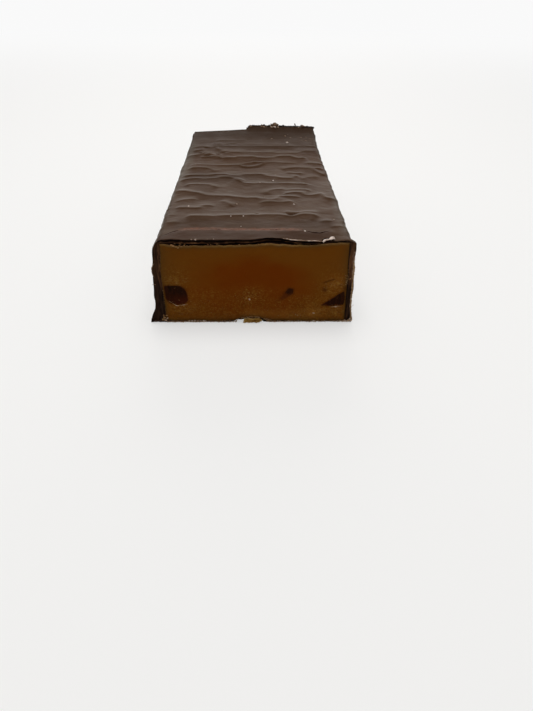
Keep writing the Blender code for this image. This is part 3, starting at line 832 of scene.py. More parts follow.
    # the hollow behind, down to the far end
    deep_top = slab_top(ix) + 0.03
    for station, lowered in ((2.4, 1.0), (LENGTH - COAT_END, 1.0)):
        new = total + np.arange(len(loop))
        total += len(loop)
        pz = np.where(is_top, iz + (deep_top - iz) * lowered, iz)
        pz = np.minimum(pz, deep_top)
        if station > 10.0:
            pz = np.clip(pz, 0.7, HEIGHT - 1.35)
        px = ix * (1.0 - (1.0 / 25.0 if station > 10.0 else 0.0))
        pts.append(np.stack([px, np.full(len(loop), station), pz], -1))
        for key in masks:
            masks[key].append(np.zeros(len(loop)))
        nxt = np.roll(np.arange(len(loop)), -1)
        rim_faces.append(np.stack([previous, new, new[nxt], previous[nxt]],
                                  -1)[:, ::-1])
        previous = new
    all_faces = [f.tolist() for f in np.vstack(faces + rim_faces)]
    all_faces.append(previous.tolist())
    base = np.concatenate([left[0, :], end[1:-1, 0], right[0, ::-1],
                           front[::-1][1:-1]])
    all_faces.append(base.tolist())
    obj = build("coat", np.vstack(pts), all_faces, material,
                {k: np.concatenate(v) for k, v in masks.items()}, sharp=40)
    obj.data.materials.append(broken)
    first = sum(len(f) for f in faces)
    slots = np.zeros(len(obj.data.polygons), np.int32)
    slots[first:-1] = 1
    obj.data.polygons.foreach_set("material_index", slots)
    bm = bmesh.new()
    bm.from_mesh(obj.data)
    bmesh.ops.recalc_face_normals(bm, faces=bm.faces)
    open_edges = sum(1 for e in bm.edges if not e.is_manifold)
    print("coat:", len(bm.verts), "verts", sum(len(f.verts) - 2
                                               for f in bm.faces),
          "tris, open edges", open_edges)
    bm.to_mesh(obj.data)
    bm.free()
    obj.data.set_sharp_from_angle(angle=math.radians(40))
    return obj


def span_mask(x, y, z):
    """Where the torn edge of the lip shows its broken inside."""
    edge = smooth(LENGTH + 1.9, LENGTH + 3.0, y) * \
        smooth(HEIGHT - 3.0, HEIGHT - 1.0, z)
    return edge * (0.4 + 0.6 * smooth(0.45, 0.8, 0.5 + 0.5 * noise(
        x / 0.7, z / 0.7, 0, 73)))


# ------------------------------------------------------------------ the fudge
GINGER = {
    "left": dict(points=[(-24.5, 11.8), (-22.4, 11.8), (-20.3, 11.7),
                         (-19.0, 11.0), (-18.35, 9.1), (-18.15, 7.1),
                         (-19.2, 6.0), (-21.5, 5.65), (-23.2, 6.2),
                         (-24.4, 7.5)],
                 deep=5.0, sunk=0.05, ledge=0.10, node="ginger_left"),
    "mid": dict(points=[(7.15, 7.3), (8.1, 9.4), (9.2, 10.85),
                        (10.6, 10.6), (10.5, 9.2), (8.8, 7.9)],
                deep=3.4, sunk=0.0, ledge=0.0, node="ginger_mid"),
    "right": dict(points=[(18.2, 5.6), (20.2, 7.0), (22.4, 8.6),
                          (24.5, 9.95), (24.8, 7.6), (24.65, 5.7),
                          (22.6, 5.35), (20.4, 5.2)],
                  deep=4.6, sunk=0.06, ledge=0.10, node="ginger_right"),
}


def outline(points, count, rough, seed):
    """A closed outline through corner points, a little worn and wavy."""
    p = np.asarray(points, float)
    loop = np.vstack([p, p[:1]])
    seg = np.sqrt(((loop[1:] - loop[:-1]) ** 2).sum(-1))
    run = np.concatenate([[0], np.cumsum(seg)])
    at = np.linspace(0, run[-1], count, endpoint=False)
    x = np.interp(at, run, loop[:, 0])
    z = np.interp(at, run, loop[:, 1])
    # wear the corners
    for _ in range(3):
        x = (np.roll(x, 1) + 2 * x + np.roll(x, -1)) / 4
        z = (np.roll(z, 1) + 2 * z + np.roll(z, -1)) / 4
    turn = at / run[-1] * 2 * math.pi
    cx, cz = x.mean(), z.mean()
    wave = 1.0 + rough * (noise(np.cos(turn) * 2.2, np.sin(turn) * 2.2,
                                seed, 91)
                          + 0.5 * noise(np.cos(turn) * 6, np.sin(turn) * 6,
                                        seed, 92))
    return np.stack([cx + (x - cx) * wave, cz + (z - cz) * wave], -1)


def fudge_relief(x, z):
    """The knife's drag and the grain of the cut face, out of the slab."""
    low = 1.0 - smooth(6.0, 13.5, z + 1.6 * noise(x / 5.0, z / 5.0, 0, 101))
    near_dice = 0.0
    for cx, cz, r in ((-21.5, 13.5, 4.0), (22.0, 12.0, 4.5), (-1.5, 8.2, 3.0),
                      (16.5, 4.0, 4.0)):
        near_dice = np.maximum(near_dice, np.exp(
            -((x - cx) ** 2 + (z - cz) ** 2) / r ** 2))
    grain = np.clip(0.55 * low + 0.75 * near_dice, 0, 1)
    out = 0.10 * fbm(x / 9.0, z / 6.0, 0.0, 2, 102)
    out = out + 0.030 * noise(x / 2.2, z / 0.9, 0, 103)
    out = out + 0.018 * noise(x / 0.9, z / 0.28, 0, 104)
    out = out + grain * (0.060 * fbm(x / 0.75, z / 0.6, 0.0, 3, 105)
                         + 0.030 * noise(x / 0.28, z / 0.28, 0, 106))
    pits = noise(x / 0.8, z / 0.7, 3.0, 107)
    out = out - grain * 0.16 * smooth(0.55, 0.85, pits)
    # torn furrow beside the right-hand die
    fur = ridge_height(x, z, [(18.4, 12.6), (19.8, 13.0), (21.6, 13.7)],
                       0.22, 0.22, 0.22, tail=0.0, taper=1.0)
    out = out - fur
    fur = ridge_height(x, z, [(18.9, 10.6), (19.4, 10.1)], 0.20, 0.4, 0.4,
                       tail=0.0, taper=0.4)
    return out - fur, grain


def make_fudge(material):
    step = 0.205
    nu = int(round(49.6 / step))
    nv = int(round(23.2 / step))
    u = np.linspace(0, 1, nu + 1)
    v = np.linspace(0, 1, nv + 1)
    # closer lines along the edges
    u = u - 0.006 * np.sin(2 * math.pi * u)
    v = v - 0.014 * np.sin(2 * math.pi * v)
    U, V = np.meshgrid(u, v, indexing="ij")
    x = -24.85 + 49.9 * U
    for _ in range(3):
        z = slab_base(x) + (slab_top(x) - slab_base(x)) * V
        x = slab_left(z) + (slab_right(z) - slab_left(z)) * U
    z = slab_base(x) + (slab_top(x) - slab_base(x)) * V
    out, grain = fudge_relief(x, z)
    edge = np.minimum(np.minimum(x - slab_left(z), slab_right(z) - x),
                      np.minimum(z - slab_base(x), slab_top(x) - z))
    top_edge = slab_top(x) - z
    y = 0.02 - out
    y = y + 0.16 * (1 - np.clip(edge / 0.22, 0, 1)) ** 2
    y = y + 0.22 * (1 - np.clip(top_edge / 0.32, 0, 1)) ** 2 * \
        (0.6 + 0.4 * noise(x / 0.7, 0.0, 0, 108))
    count = (nu + 1) * (nv + 1)
    front = np.arange(count).reshape(nu + 1, nv + 1)
    pts = [np.stack([x.ravel(), y.ravel(), z.ravel()], -1)]
    # paler along the broken top edge: partly crumbled fudge, partly a painted
    # highlight where the edge catches the light
    fringe = np.exp(-(np.clip(top_edge - 0.05, 0, 9) / 0.28) ** 2)
    stain = 0.75 * np.exp(-((x - 19.1) ** 2 + (z - 10.3) ** 2) / 0.45)
    for key, g in GINGER.items():
        loop = outline(g["points"], 88, 0.02, len(key))
        away = np.full(x.shape, 9.0)
        close = (x > loop[:, 0].min() - 2) & (x < loop[:, 0].max() + 2) & \
            (z > loop[:, 1].min() - 2) & (z < loop[:, 1].max() + 2)
        q = np.stack([x[close], z[close]], -1)
        away[close] = np.sqrt(((q[:, None, :] - loop[None]) ** 2).sum(-1)
                              ).min(1)
        upper = smooth(-1.5, 1.0, z - loop[:, 1].mean())
        stain = np.maximum(stain, (0.16 + 0.34 * upper)
                           * np.exp(-(away / 0.38) ** 2))
    stain = np.maximum(stain, ridge_height(
        x, z, [(18.3, 12.5), (19.8, 12.9), (21.8, 13.7)], 0.75, 0.22, 0.22,
        tail=0.0, taper=1.0))
    stain = np.maximum(stain, 0.55 * np.exp(
        -(((x - 8.0) * 0.75 + (z - 8.2) * 0.66) / 1.9) ** 2
        - ((-(x - 8.0) * 0.66 + (z - 8.2) * 0.75) / 0.7) ** 2))
    # painted glints in patches of the face
    glint = np.zeros_like(x)
    for cx, cz, rx, rz, much in (
            (-22.0, 13.0, 2.6, 1.3, 0.9), (-20.0, 4.6, 3.6, 1.8, 0.7),
            (22.6, 11.8, 2.4, 1.3, 1.0), (20.2, 10.2, 2.0, 0.9, 0.8),
            (22.5, 3.2, 2.6, 1.5, 0.8), (-1.5, 8.4, 1.6, 1.8, 0.7),
            (16.0, 3.3, 2.4, 1.3, 1.0), (11.5, 2.2, 4.5, 0.9, 0.75),
            (-0.5, 2.9, 4.0, 0.9, 0.60),
            (-8.0, 3.0, 7.0, 1.6, 0.40), (2.0, 10.2, 4.0, 1.0, 0.35),
            (-13.0, 9.0, 3.5, 1.8, 0.35)):
        glint = np.maximum(glint, much * np.exp(
            -((x - cx) / rx) ** 2 - ((z - cz) / rz) ** 2))
    ring = ((x + 2.0) / 20.0) ** 2 + ((z - 10.5) / 14.0) ** 2
    olive = smooth(0.12, 1.12, ring + 0.22 * fbm(x / 7.0, z / 5.0, 0.0, 2,
                                                 109)
                   + 0.30 * smooth(16.0, 22.5, z))
    # painted shade: the face darkens softly towards the walls
    wall_shade = 0.85 * np.exp(-np.clip(x - slab_left(z) - 0.3, 0, 99) / 2.2) \
        * smooth(8.5, 12.0, z)
    wall_shade = np.maximum(wall_shade, 0.85 * np.exp(
        -np.clip(slab_right(z) - x - 0.3, 0, 99) / 1.5) * smooth(13.0, 17.0, z))
    # painted light: brighter patches low on the face and beside the right die
    lit = 0.30 * smooth(-5.0, -1.0, x) * (1.0 - smooth(17.0, 21.0, x)) \
        * np.exp(-((z - 2.6) / 1.6) ** 2)
    lit = np.maximum(lit, 0.48 * np.exp(-((x - 16.0) / 2.6) ** 2
                                        - ((z - 2.9) / 1.6) ** 2))
    lit = np.maximum(lit, 0.24 * np.exp(-((x - 22.0) / 2.6) ** 2
                                        - ((z - 12.6) / 1.6) ** 2))
    # painted shade by the right wall, above the right die
    stain = np.maximum(stain, 0.50 * np.exp(-((x - 24.6) / 0.9) ** 2
                                            - ((z - 10.6) / 1.3) ** 2))
    masks = {"grain": [grain.ravel()], "fringe": [fringe.ravel()],
             "lit": [lit.ravel()],
             # painted shade along all the face's edges and by the walls
             "edge": [np.maximum(np.exp(-(edge / 0.85) ** 2),
                                 wall_shade).ravel()],
             "olive": [olive.ravel()], "glint": [glint.ravel()],
             "stain": [np.clip(stain, 0, 1).ravel()],
             "face": [np.ones(count)]}
    loop = np.concatenate([front[:-1, 0], front[-1, :-1], front[:0:-1, -1],
                           front[0, :0:-1]])
    fx, fz = x.ravel()[loop], z.ravel()[loop]
    faces = [grid_faces(front, flip=True)]
    previous, total = loop, count
    for station, pull in ((0.42, 0.015), (0.9, 0.03),
                          (LENGTH - COAT_END - 0.1, 1.15)):
        px = fx * (1 - pull / 25.0)
        pz = 12.2 + (fz - 12.2) * (1 - min(pull, 0.12) / 12.0)
        new = total + np.arange(len(loop))
        total += len(loop)
        pts.append(np.stack([px, np.full(len(loop), station), pz], -1))
        for key in masks:
            masks[key].append(np.zeros(len(loop)))
        nxt = np.roll(np.arange(len(loop)), -1)
        faces.append(np.stack([previous, previous[nxt], new[nxt], new], -1))
        previous = new
    all_faces = [f.tolist() for f in np.vstack(faces)]
    all_faces.append(previous.tolist())
    obj = build("fudge_slab", np.vstack(pts), all_faces, material,
                {k: np.concatenate(w) for k, w in masks.items()}, sharp=60)
    bm = bmesh.new()
    bm.from_mesh(obj.data)
    bmesh.ops.recalc_face_normals(bm, faces=bm.faces)
    print("fudge:", len(bm.verts), "verts, open edges",
          sum(1 for e in bm.edges if not e.is_manifold))
    bm.to_mesh(obj.data)
    bm.free()
    # pockets that the ginger sits in
    for key, g in GINGER.items():
        loop2 = outline(g["points"], 88, 0.02, len(key))
        cx, cz = loop2.mean(0)
        grown = loop2 + (loop2 - (cx, cz)) / np.linalg.norm(
            loop2 - (cx, cz), axis=1)[:, None] * 0.008
        low = smooth(0.0, 1.0, (cz - grown[:, 1]) / 1.2)
        grown[:, 1] -= g["ledge"] * low
        n = len(grown)
        p = np.vstack([
            np.stack([grown[:, 0], np.full(n, -1.5), grown[:, 1]], -1),
            np.stack([grown[:, 0], np.full(n, g["deep"] + 0.3),
                      grown[:, 1]], -1)])
        k = np.arange(n)
        f = np.stack([k, (k + 1) % n, (k + 1) % n + n, k + n], -1).tolist()
        f += [list(range(n))[::-1], list(range(n, 2 * n))]
        cutter = build("pocket_" + key, p, f, material,
                       {"face": np.ones(2 * n), "olive": np.ones(2 * n),
                        "stain": np.full(2 * n, 0.35)})
        bm = bmesh.new()
        bm.from_mesh(cutter.data)
        bmesh.ops.recalc_face_normals(bm, faces=bm.faces)
        bm.to_mesh(cutter.data)
        bm.free()
        mod = obj.modifiers.new("pocket", 'BOOLEAN')
        mod.object = cutter
        mod.operation = 'DIFFERENCE'
        mod.solver = 'EXACT'
        graph = bpy.context.evaluated_depsgraph_get()
        mesh = bpy.data.meshes.new_from_object(obj.evaluated_get(graph))
        obj.modifiers.clear()
        old = obj.data
        obj.data = mesh
        bpy.data.meshes.remove(old)
        bpy.data.objects.remove(cutter, do_unlink=True)
    # the rims of the pockets are new points: they take the tones beside them
    mesh = obj.data
    at = np.empty(len(mesh.vertices) * 3, np.float32)
    mesh.vertices.foreach_get("co", at)
    at = at.reshape(-1, 3).astype(float) * 1000.0 - SHIFT
    known = np.empty(len(at), np.float32)
    mesh.attributes["face"].data.foreach_get("value", known)
    rim = np.flatnonzero((known < 0.5) & (at[:, 1] < 0.30))
    fx, fz = x.ravel(), z.ravel()
    near = [int(((fx - at[i, 0]) ** 2 + (fz - at[i, 2]) ** 2).argmin())
            for i in rim]
    print("fudge: rim points", len(rim))
    for key in masks:
        value = np.empty(len(at), np.float32)
        layer = mesh.attributes[key]
        layer.data.foreach_get("value", value)
        value[rim] = masks[key][0][near]
        layer.data.foreach_set("value", value)
    mesh.set_sharp_from_angle(angle=math.radians(50))
    return obj


# ----------------------------------------------------------------- the ginger
def make_ginger(key, g, material):
    """A die of stem ginger: a worn prism with a fibrous, knife-cut front."""
    n = 88
    loop = outline(g["points"], n, 0.02, len(key))
    c = loop.mean(0)
    rings = 16
    pts, masks, faces = [np.array([[c[0], g["sunk"], c[1]]])], [np.array(
        [0.0])], []
    previous = None
    seed = 110 + len(key)

    def relief(x, z, t):
        fibre = 0.05 * noise(x / 0.30, z / 2.4, 0, seed) + \
            0.03 * noise(x / 0.13, z / 1.5, 0, seed + 1)
        lump = 0.07 * noise(x / 1.6, z / 1.3, 0, seed + 2)
        # the knife left it level with the slab round it
        level = 0.02 - fudge_relief(x, z)[0]
        calm = 1.0 - (0.85 * smooth(0.6, 1.0, t) if key == "mid" else 0.0)
        return level + g["sunk"] - calm * (0.5 * fibre + 0.4 * lump) \
            + 0.03 * calm * smooth(0.93, 1.0, t) ** 2

    total = 1
    for r in range(1, rings + 1):
        t = (r / rings) ** 0.8
        p = c + (loop - c) * t
        y = relief(p[:, 0], p[:, 1], t)
        pts.append(np.stack([p[:, 0], y, p[:, 1]], -1))
        masks.append(np.full(n, t))
        new = total + np.arange(n)
        total += n
        nxt = np.roll(np.arange(n), -1)
        if previous is None:
            faces += [[0, new[nxt[k]], new[k]] for k in range(n)]
        else:
            faces += np.stack([previous, previous[nxt], new[nxt], new],
                              -1).tolist()
        previous = new
    for deep, size in ((0.9, 1.0), (g["deep"] * 0.6, 0.97),
                       (g["deep"] - 0.2, 0.88), (g["deep"], 0.60)):
        p = c + (loop - c) * size
        wob = 0.06 * noise(p[:, 0], p[:, 1], deep, seed + 5)
        pts.append(np.stack([p[:, 0], np.full(n, deep) + wob, p[:, 1]], -1))
        masks.append(np.ones(n))
        new = total + np.arange(n)
        total += n
        nxt = np.roll(np.arange(n), -1)
        faces += np.stack([previous, previous[nxt], new[nxt], new],
                          -1).tolist()
        previous = new
    faces.append(previous.tolist()[::-1])
    every = np.vstack(pts)
    t = np.concatenate(masks)
    px, pz = every[:, 0], every[:, 2]
    ragged = 0.10 * noise(px / 0.5, pz / 0.5, 0, seed + 7)
    if key == "mid":
        # a dark core high up, fading out along a tail
        core = ((px - 9.50) / 1.50) ** 2 + ((pz - 9.95) / 1.20) ** 2
        soft = np.clip(0.35 + 0.65 * smooth(0.25, 1.6, core)
                       - 0.35 * np.exp(-core / 0.35) + ragged, 0, 1)
        soft = np.maximum(soft * 0.84, 0.9 * smooth(0.80, 1.0, t)
                          * smooth(0.3, 1.2, core))
        ruddy = 0.35 * smooth(0.5, 1.5, core)
    elif key == "left":
        low = smooth(0.0, 1.0, (10.2 - pz) / 4.0)
        soft = smooth(0.90, 1.0, t + ragged * 0.3) * (0.35 + 0.3 * low)
        ruddy = (0.35 + 0.45 * smooth(-24.0, -19.0, px)) * low
    else:
        soft = smooth(0.72, 1.0, t + ragged) * 0.75 * \
            smooth(0.0, 1.0, (25.2 - px) / 4.0)
        ruddy = 0.25 * smooth(-0.5, 1.0, (21.5 - px) / 3.0)
    obj = build("ginger_die_" + key, every, faces, material,
                {"soft": np.clip(soft, 0, 1), "ruddy": np.clip(ruddy, 0, 1)},
                sharp=60)
    bm = bmesh.new()
    bm.from_mesh(obj.data)
    bmesh.ops.recalc_face_normals(bm, faces=bm.faces)
    bm.to_mesh(obj.data)
    bm.free()
    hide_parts(g["node"])
    return obj


# -------------------------------------------------------- crumbs and shavings
class Crumbs:
    """Many small broken lumps, joined into one piece."""

    def __init__(self, seed):
        bm = bmesh.new()
        bmesh.ops.create_icosphere(bm, subdivisions=2, radius=1.0)
        self.ball = np.array([v.co[:] for v in bm.verts])
        self.tris = np.array([[v.index for v in f.verts] for f in bm.faces])
        bm.free()
        self.rng = np.random.default_rng(seed)
        self.pts, self.faces, self.tone = [], [], []
        self.total = 0

    def add(self, at, size, tone=0.5, turn=None):
        """One lump at a place, of three half sizes; tone 0 dark to 1 pale."""
        rng = self.rng
        off = rng.uniform(0, 50, 3)
        p = self.ball
        lump = 1.0 + 0.34 * noise(p[:, 0] * 1.6 + off[0], p[:, 1] * 1.6
                                  + off[1], p[:, 2] * 1.6 + off[2], 5)
        lump = lump + 0.16 * noise(p[:, 0] * 3.7 + off[1], p[:, 1] * 3.7,
                                   p[:, 2] * 3.7 + off[0], 6)
        q = p * lump[:, None]
        # a few flat broken faces
        for _ in range(4):
            n = rng.normal(size=3)
            n /= np.linalg.norm(n)
            d = q @ n
            lim = rng.uniform(0.55, 0.85)
            q = q - np.maximum(d - lim, 0)[:, None] * n
        q = q * np.asarray(size, float)
        angles = turn if turn is not None else rng.uniform(-0.6, 0.6, 3)
        m = np.array(Matrix.Rotation(angles[0], 3, 'X')
                     @ Matrix.Rotation(angles[1], 3, 'Y')
                     @ Matrix.Rotation(angles[2], 3, 'Z'))
        q = q @ m.T + np.asarray(at, float)
        self.pts.append(q)
        self.faces.append(self.tris + self.total)
        self.tone.append(np.full(len(q), tone))
        self.total += len(q)

    def make(self, name, material):
        obj = build(name, np.vstack(self.pts),
                    np.vstack(self.faces).tolist(), material,
                    {"tone": np.concatenate(self.tone)}, sharp=50)
        print(name, len(np.vstack(self.faces)), "tris")
        return obj


def coat_outer(side, z, along=0.0):
    """The coat's outside at a height, at the cut or farther along."""
    depth = np.asarray(HEIGHT - np.asarray(z, float))
    return side * (WIDTH / 2 + flank(depth, np.full_like(depth, side),
                                     along))


def make_fudge_crumbs(material):
    c = Crumbs(301)
    rng = c.rng
    # the crumbly outer edge of the section on the right
    for z in np.linspace(0.35, 22.6, 420):
        dense = 0.30 + 0.60 * math.exp(-((z - 16.0) / 3.0) ** 2)
        if z < 12.5:
            dense = 0.95
        if z > 19.5:
            dense *= 0.35
        if rng.random() > dense:
            continue
        size = rng.uniform(0.08, 0.17) * (1.6 if 12.5 < z < 18.5 and
                                          rng.random() < 0.22 else 1.0)
        x = coat_outer(1.0, z) - rng.uniform(-0.02, 0.30)
        c.add((x, rng.uniform(-0.09, 0.12), z),
              (size * 0.9, size * 0.8, size * rng.uniform(0.9, 2.0)),
              rng.uniform(0.52, 0.86))
    for x, z, s in ((26.45, 17.2, 0.26), (26.4, 14.2, 0.28),
                    (26.5, 13.0, 0.24), (25.7, 13.8, 0.22),
                    (26.5, 11.9, 0.20), (26.2, 15.4, 0.18)):
        c.add((x, -0.1, z), (s, s * 0.7, s * 1.1), rng.uniform(0.55, 0.75))
    # the thin crumbled line along the bottom, broken by the gap in the middle
    for x in np.linspace(-24.6, 26.6, 760):
        gap = smooth(-5.7, -5.1, x) * (1.0 - smooth(2.8, 3.4, x))
        if rng.random() < gap or rng.random() < 0.12:
            continue
        s = rng.uniform(0.05, 0.12)
        if rng.random() < 0.06:
            s *= 1.8
        z = rng.uniform(0.06, 0.46)
        tone = rng.uniform(0.42, 0.78)
        if x > 5.0 and rng.random() < 0.35:
            tone = rng.uniform(0.7, 0.95)
        c.add((x, rng.uniform(-0.14, 0.10), z),
              (s * rng.uniform(1.0, 2.4), s * 0.9, s * 0.8), tone)
    # chips: two runs of pale ones on the left, the corners, the gap's ends
    for x, z, s, tone in (
            (-18.5, 0.34, 0.34, 0.84), (-17.7, 0.46, 0.30, 0.90),
            (-16.9, 0.50, 0.32, 0.80), (-16.0, 0.46, 0.26, 0.72),
            (-15.2, 0.44, 0.26, 0.84), (-14.4, 0.46, 0.30, 0.90),
            (-13.8, 0.42, 0.24, 0.78), (-25.2, 1.7, 0.36, 0.58),
            (-25.7, 1.1, 0.36, 0.54), (-25.0, 0.8, 0.42, 0.76),
            (-24.6, 2.3, 0.26, 0.62), (-24.5, 1.4, 0.30, 0.76),
            (-25.4, 2.4, 0.22, 0.50), (27.0, 0.44, 0.36, 0.84),
            (26.3, 0.46, 0.42, 0.76), (25.6, 0.42, 0.38, 0.80),
            (24.9, 0.38, 0.34, 0.70), (24.1, 0.36, 0.30, 0.74),
            (26.8, 1.0, 0.28, 0.90), (16.6, 0.34, 0.28, 0.98),
            (17.1, 0.42, 0.16, 0.74), (-5.2, 0.60, 0.22, 0.62),
            (-4.8, 1.0, 0.18, 0.50), (3.3, 1.05, 0.22, 0.66),
            (3.9, 0.86, 0.22, 0.56), (4.4, 0.66, 0.18, 0.50)):
        c.add((x, -0.07, z), (s * 1.25, s * 0.8, s * 0.8), tone)
    # golden crumbs over the flake at the middle of the lower edge
    for _ in range(120):
        x = rng.uniform(-3.9, 3.0)
        z = float(slab_base(np.array(x))) + rng.uniform(-0.10, 0.28)
        s = rng.uniform(0.05, 0.12)
        c.add((x, rng.uniform(-0.06, 0.08), z), (s * 1.6, s, s * 0.8),
              rng.uniform(0.40, 0.68))
    # pale grains on the face
    for x, z, s, tone in ((16.2, 3.3, 0.17, 0.70), (16.7, 2.95, 0.22, 0.62),
                          (16.0, 2.8, 0.14, 0.58), (17.3, 3.2, 0.12, 0.52),
                          (12.0, 2.2, 0.22, 0.50), (11.4, 2.5, 0.20, 0.46),
                          (12.8, 2.3, 0.16, 0.46), (-1.5, 7.7, 0.14, 0.64),
                          (-1.35, 7.2, 0.13, 0.56), (-2.2, 7.6, 0.11, 0.46),
                          (-3.0, 7.9, 0.11, 0.46), (13.9, 3.6, 0.12, 0.46),
                          (-1.45, 7.45, 0.26, 0.84), (16.45, 3.1, 0.38, 0.72),
                          (18.9, 4.0, 0.11, 0.46), (6.6, 2.1, 0.12, 0.44)):
        c.add((x, -0.02, z), (s, s * 0.45, s), tone)
    for _ in range(420):
        x = rng.uniform(-24.0, 24.6)
        z = 0.9 + abs(rng.normal(0, 3.2))
        if z > 11:
            continue
        s = rng.uniform(0.035, 0.08)
        c.add((x, 0.03, z), (s * 1.2, s * 0.6, s), rng.uniform(0.22, 0.46))
    for cx, cz, r, count in ((-21.5, 13.6, 2.0, 46), (22.0, 12.4, 2.2, 60),
                             (-20.5, 5.6, 1.6, 30), (22.0, 4.2, 1.8, 30),
                             (-1.5, 8.6, 1.8, 30)):
        for _ in range(count):
            x, z = cx + rng.normal(0, r), cz + rng.normal(0, r * 0.45)
            if abs(x) > 24.2 or not 1.0 < z < 22.0:
                continue
            s = rng.uniform(0.035, 0.085)
            c.add((x, 0.02, z), (s * 1.3, s * 0.6, s),
                  rng.uniform(0.25, 0.55))
    # worn fringe where the slab's top edge broke
    for x in np.linspace(-23.6, 24.0, 360):
        if rng.random() > (0.72 if x < -8 else 0.50):
            continue
        s = rng.uniform(0.04, 0.10)
        c.add((x, rng.uniform(0.04, 0.26), float(slab_top(np.array(x)))
               - rng.uniform(-0.05, 0.10)),
              (s * rng.uniform(1.0, 2.6), s, s * 0.7), rng.uniform(0.28, 0.5))
    # the broken bits wedged in the gap at the left
    for x, z, s, tone in ((-21.3, 23.50, 0.24, 0.50), (-20.8, 23.3, 0.28, 0.58),
                          (-20.2, 23.05, 0.26, 0.54), (-19.6, 22.80, 0.24, 0.60),
                          (-19.2, 23.35, 0.20, 0.40), (-18.7, 23.15, 0.22, 0.48),
                          (-18.0, 23.40, 0.20, 0.44), (-17.3, 23.35, 0.16, 0.40),
                          (-20.4, 23.9, 0.18, 0.20), (-19.0, 23.8, 0.20, 0.24),
                          (-17.8, 23.8, 0.16, 0.30), (-16.4, 23.4, 0.14, 0.42),
                          (-11.9, 23.7, 0.14, 0.56), (-11.2, 23.7, 0.12, 0.50),
                          (-9.6, 23.75, 0.12, 0.48), (-3.9, 23.6, 0.15, 0.52)):
        c.add((x, rng.uniform(-0.05, 0.15), z),
              (s * 1.3, s * 0.8, s * 0.65), tone)
    # right inner edge of the slab, thickest just above the die
    for z in np.linspace(11.6, 17.5, 70):
        if rng.random() > 0.25 + 0.65 * math.exp(-((z - 13.4) / 1.1) ** 2):
            continue
        s = rng.uniform(0.06, 0.15)
        c.add((float(slab_right(np.array(z))) + rng.uniform(-0.55, 0.25),
               rng.uniform(-0.08, 0.04), z),
              (s, s * 0.7, s * 1.1), rng.uniform(0.34, 0.60))
    # left inner edge of the slab
    for z in np.linspace(1.0, 22.0, 120):
        if rng.random() < 0.5:
            s = rng.uniform(0.04, 0.09)
            c.add((float(slab_left(np.array(z))) + rng.uniform(-0.08, 0.10),
                   0.03, z), (s, s * 0.6, s * 1.8), rng.uniform(0.10, 0.42))
    return c.make("fudge_crumbs", material)


def make_syrup_lines(material):
    """The thin crust under the two larger dice; its pale tone is partly a
    painted highlight where the ledge catches the light.
    """
    verts, faces, total = [], [], 0
    for pts, thick in (([(-23.6, 7.00), (-22.6, 6.25), (-21.5, 5.48),
                         (-20.6, 5.58), (-20.0, 5.50)], 0.12),
                       ([(-20.5, 5.55), (-19.6, 5.72), (-18.5, 5.95)], 0.09),
                       ([(21.2, 4.92), (22.0, 5.0), (23.0, 4.98),
                         (24.3, 5.14)], 0.12),
                       ([(21.8, 5.14), (22.8, 5.22), (23.6, 5.20)], 0.07)):
        run = curve_through(pts, per=10)
        n = len(run)
        for k, (px, pz) in enumerate(run):
            r = thick * (0.25 + 0.75 * math.sin(math.pi * (k + 0.5) / n)) * (
                1.0 + 0.45 * float(noise(np.array(k / 3.1), px, 0.0, 641)))
            for j in range(8):
                w = j / 8 * 2 * math.pi
                verts.append((px, 0.0 + 0.8 * r * math.cos(w),
                              pz + r * math.sin(w)))
        for k in range(n - 1):
            for j in range(8):
                a, b = total + k * 8 + j, total + k * 8 + (j + 1) % 8
                faces.append([a, b, b + 8, a + 8])
        faces.append([total + j for j in range(8)][::-1])
        faces.append([total + (n - 1) * 8 + j for j in range(8)])
        total += n * 8
    v = np.array(verts)
    return build("syrup_and_highlight_lines", v, faces, material,
                 {"tone": 0.70 + 0.22 * noise(v[:, 0] / 0.5, v[:, 2] / 0.5,
                                              0.0, 642)})


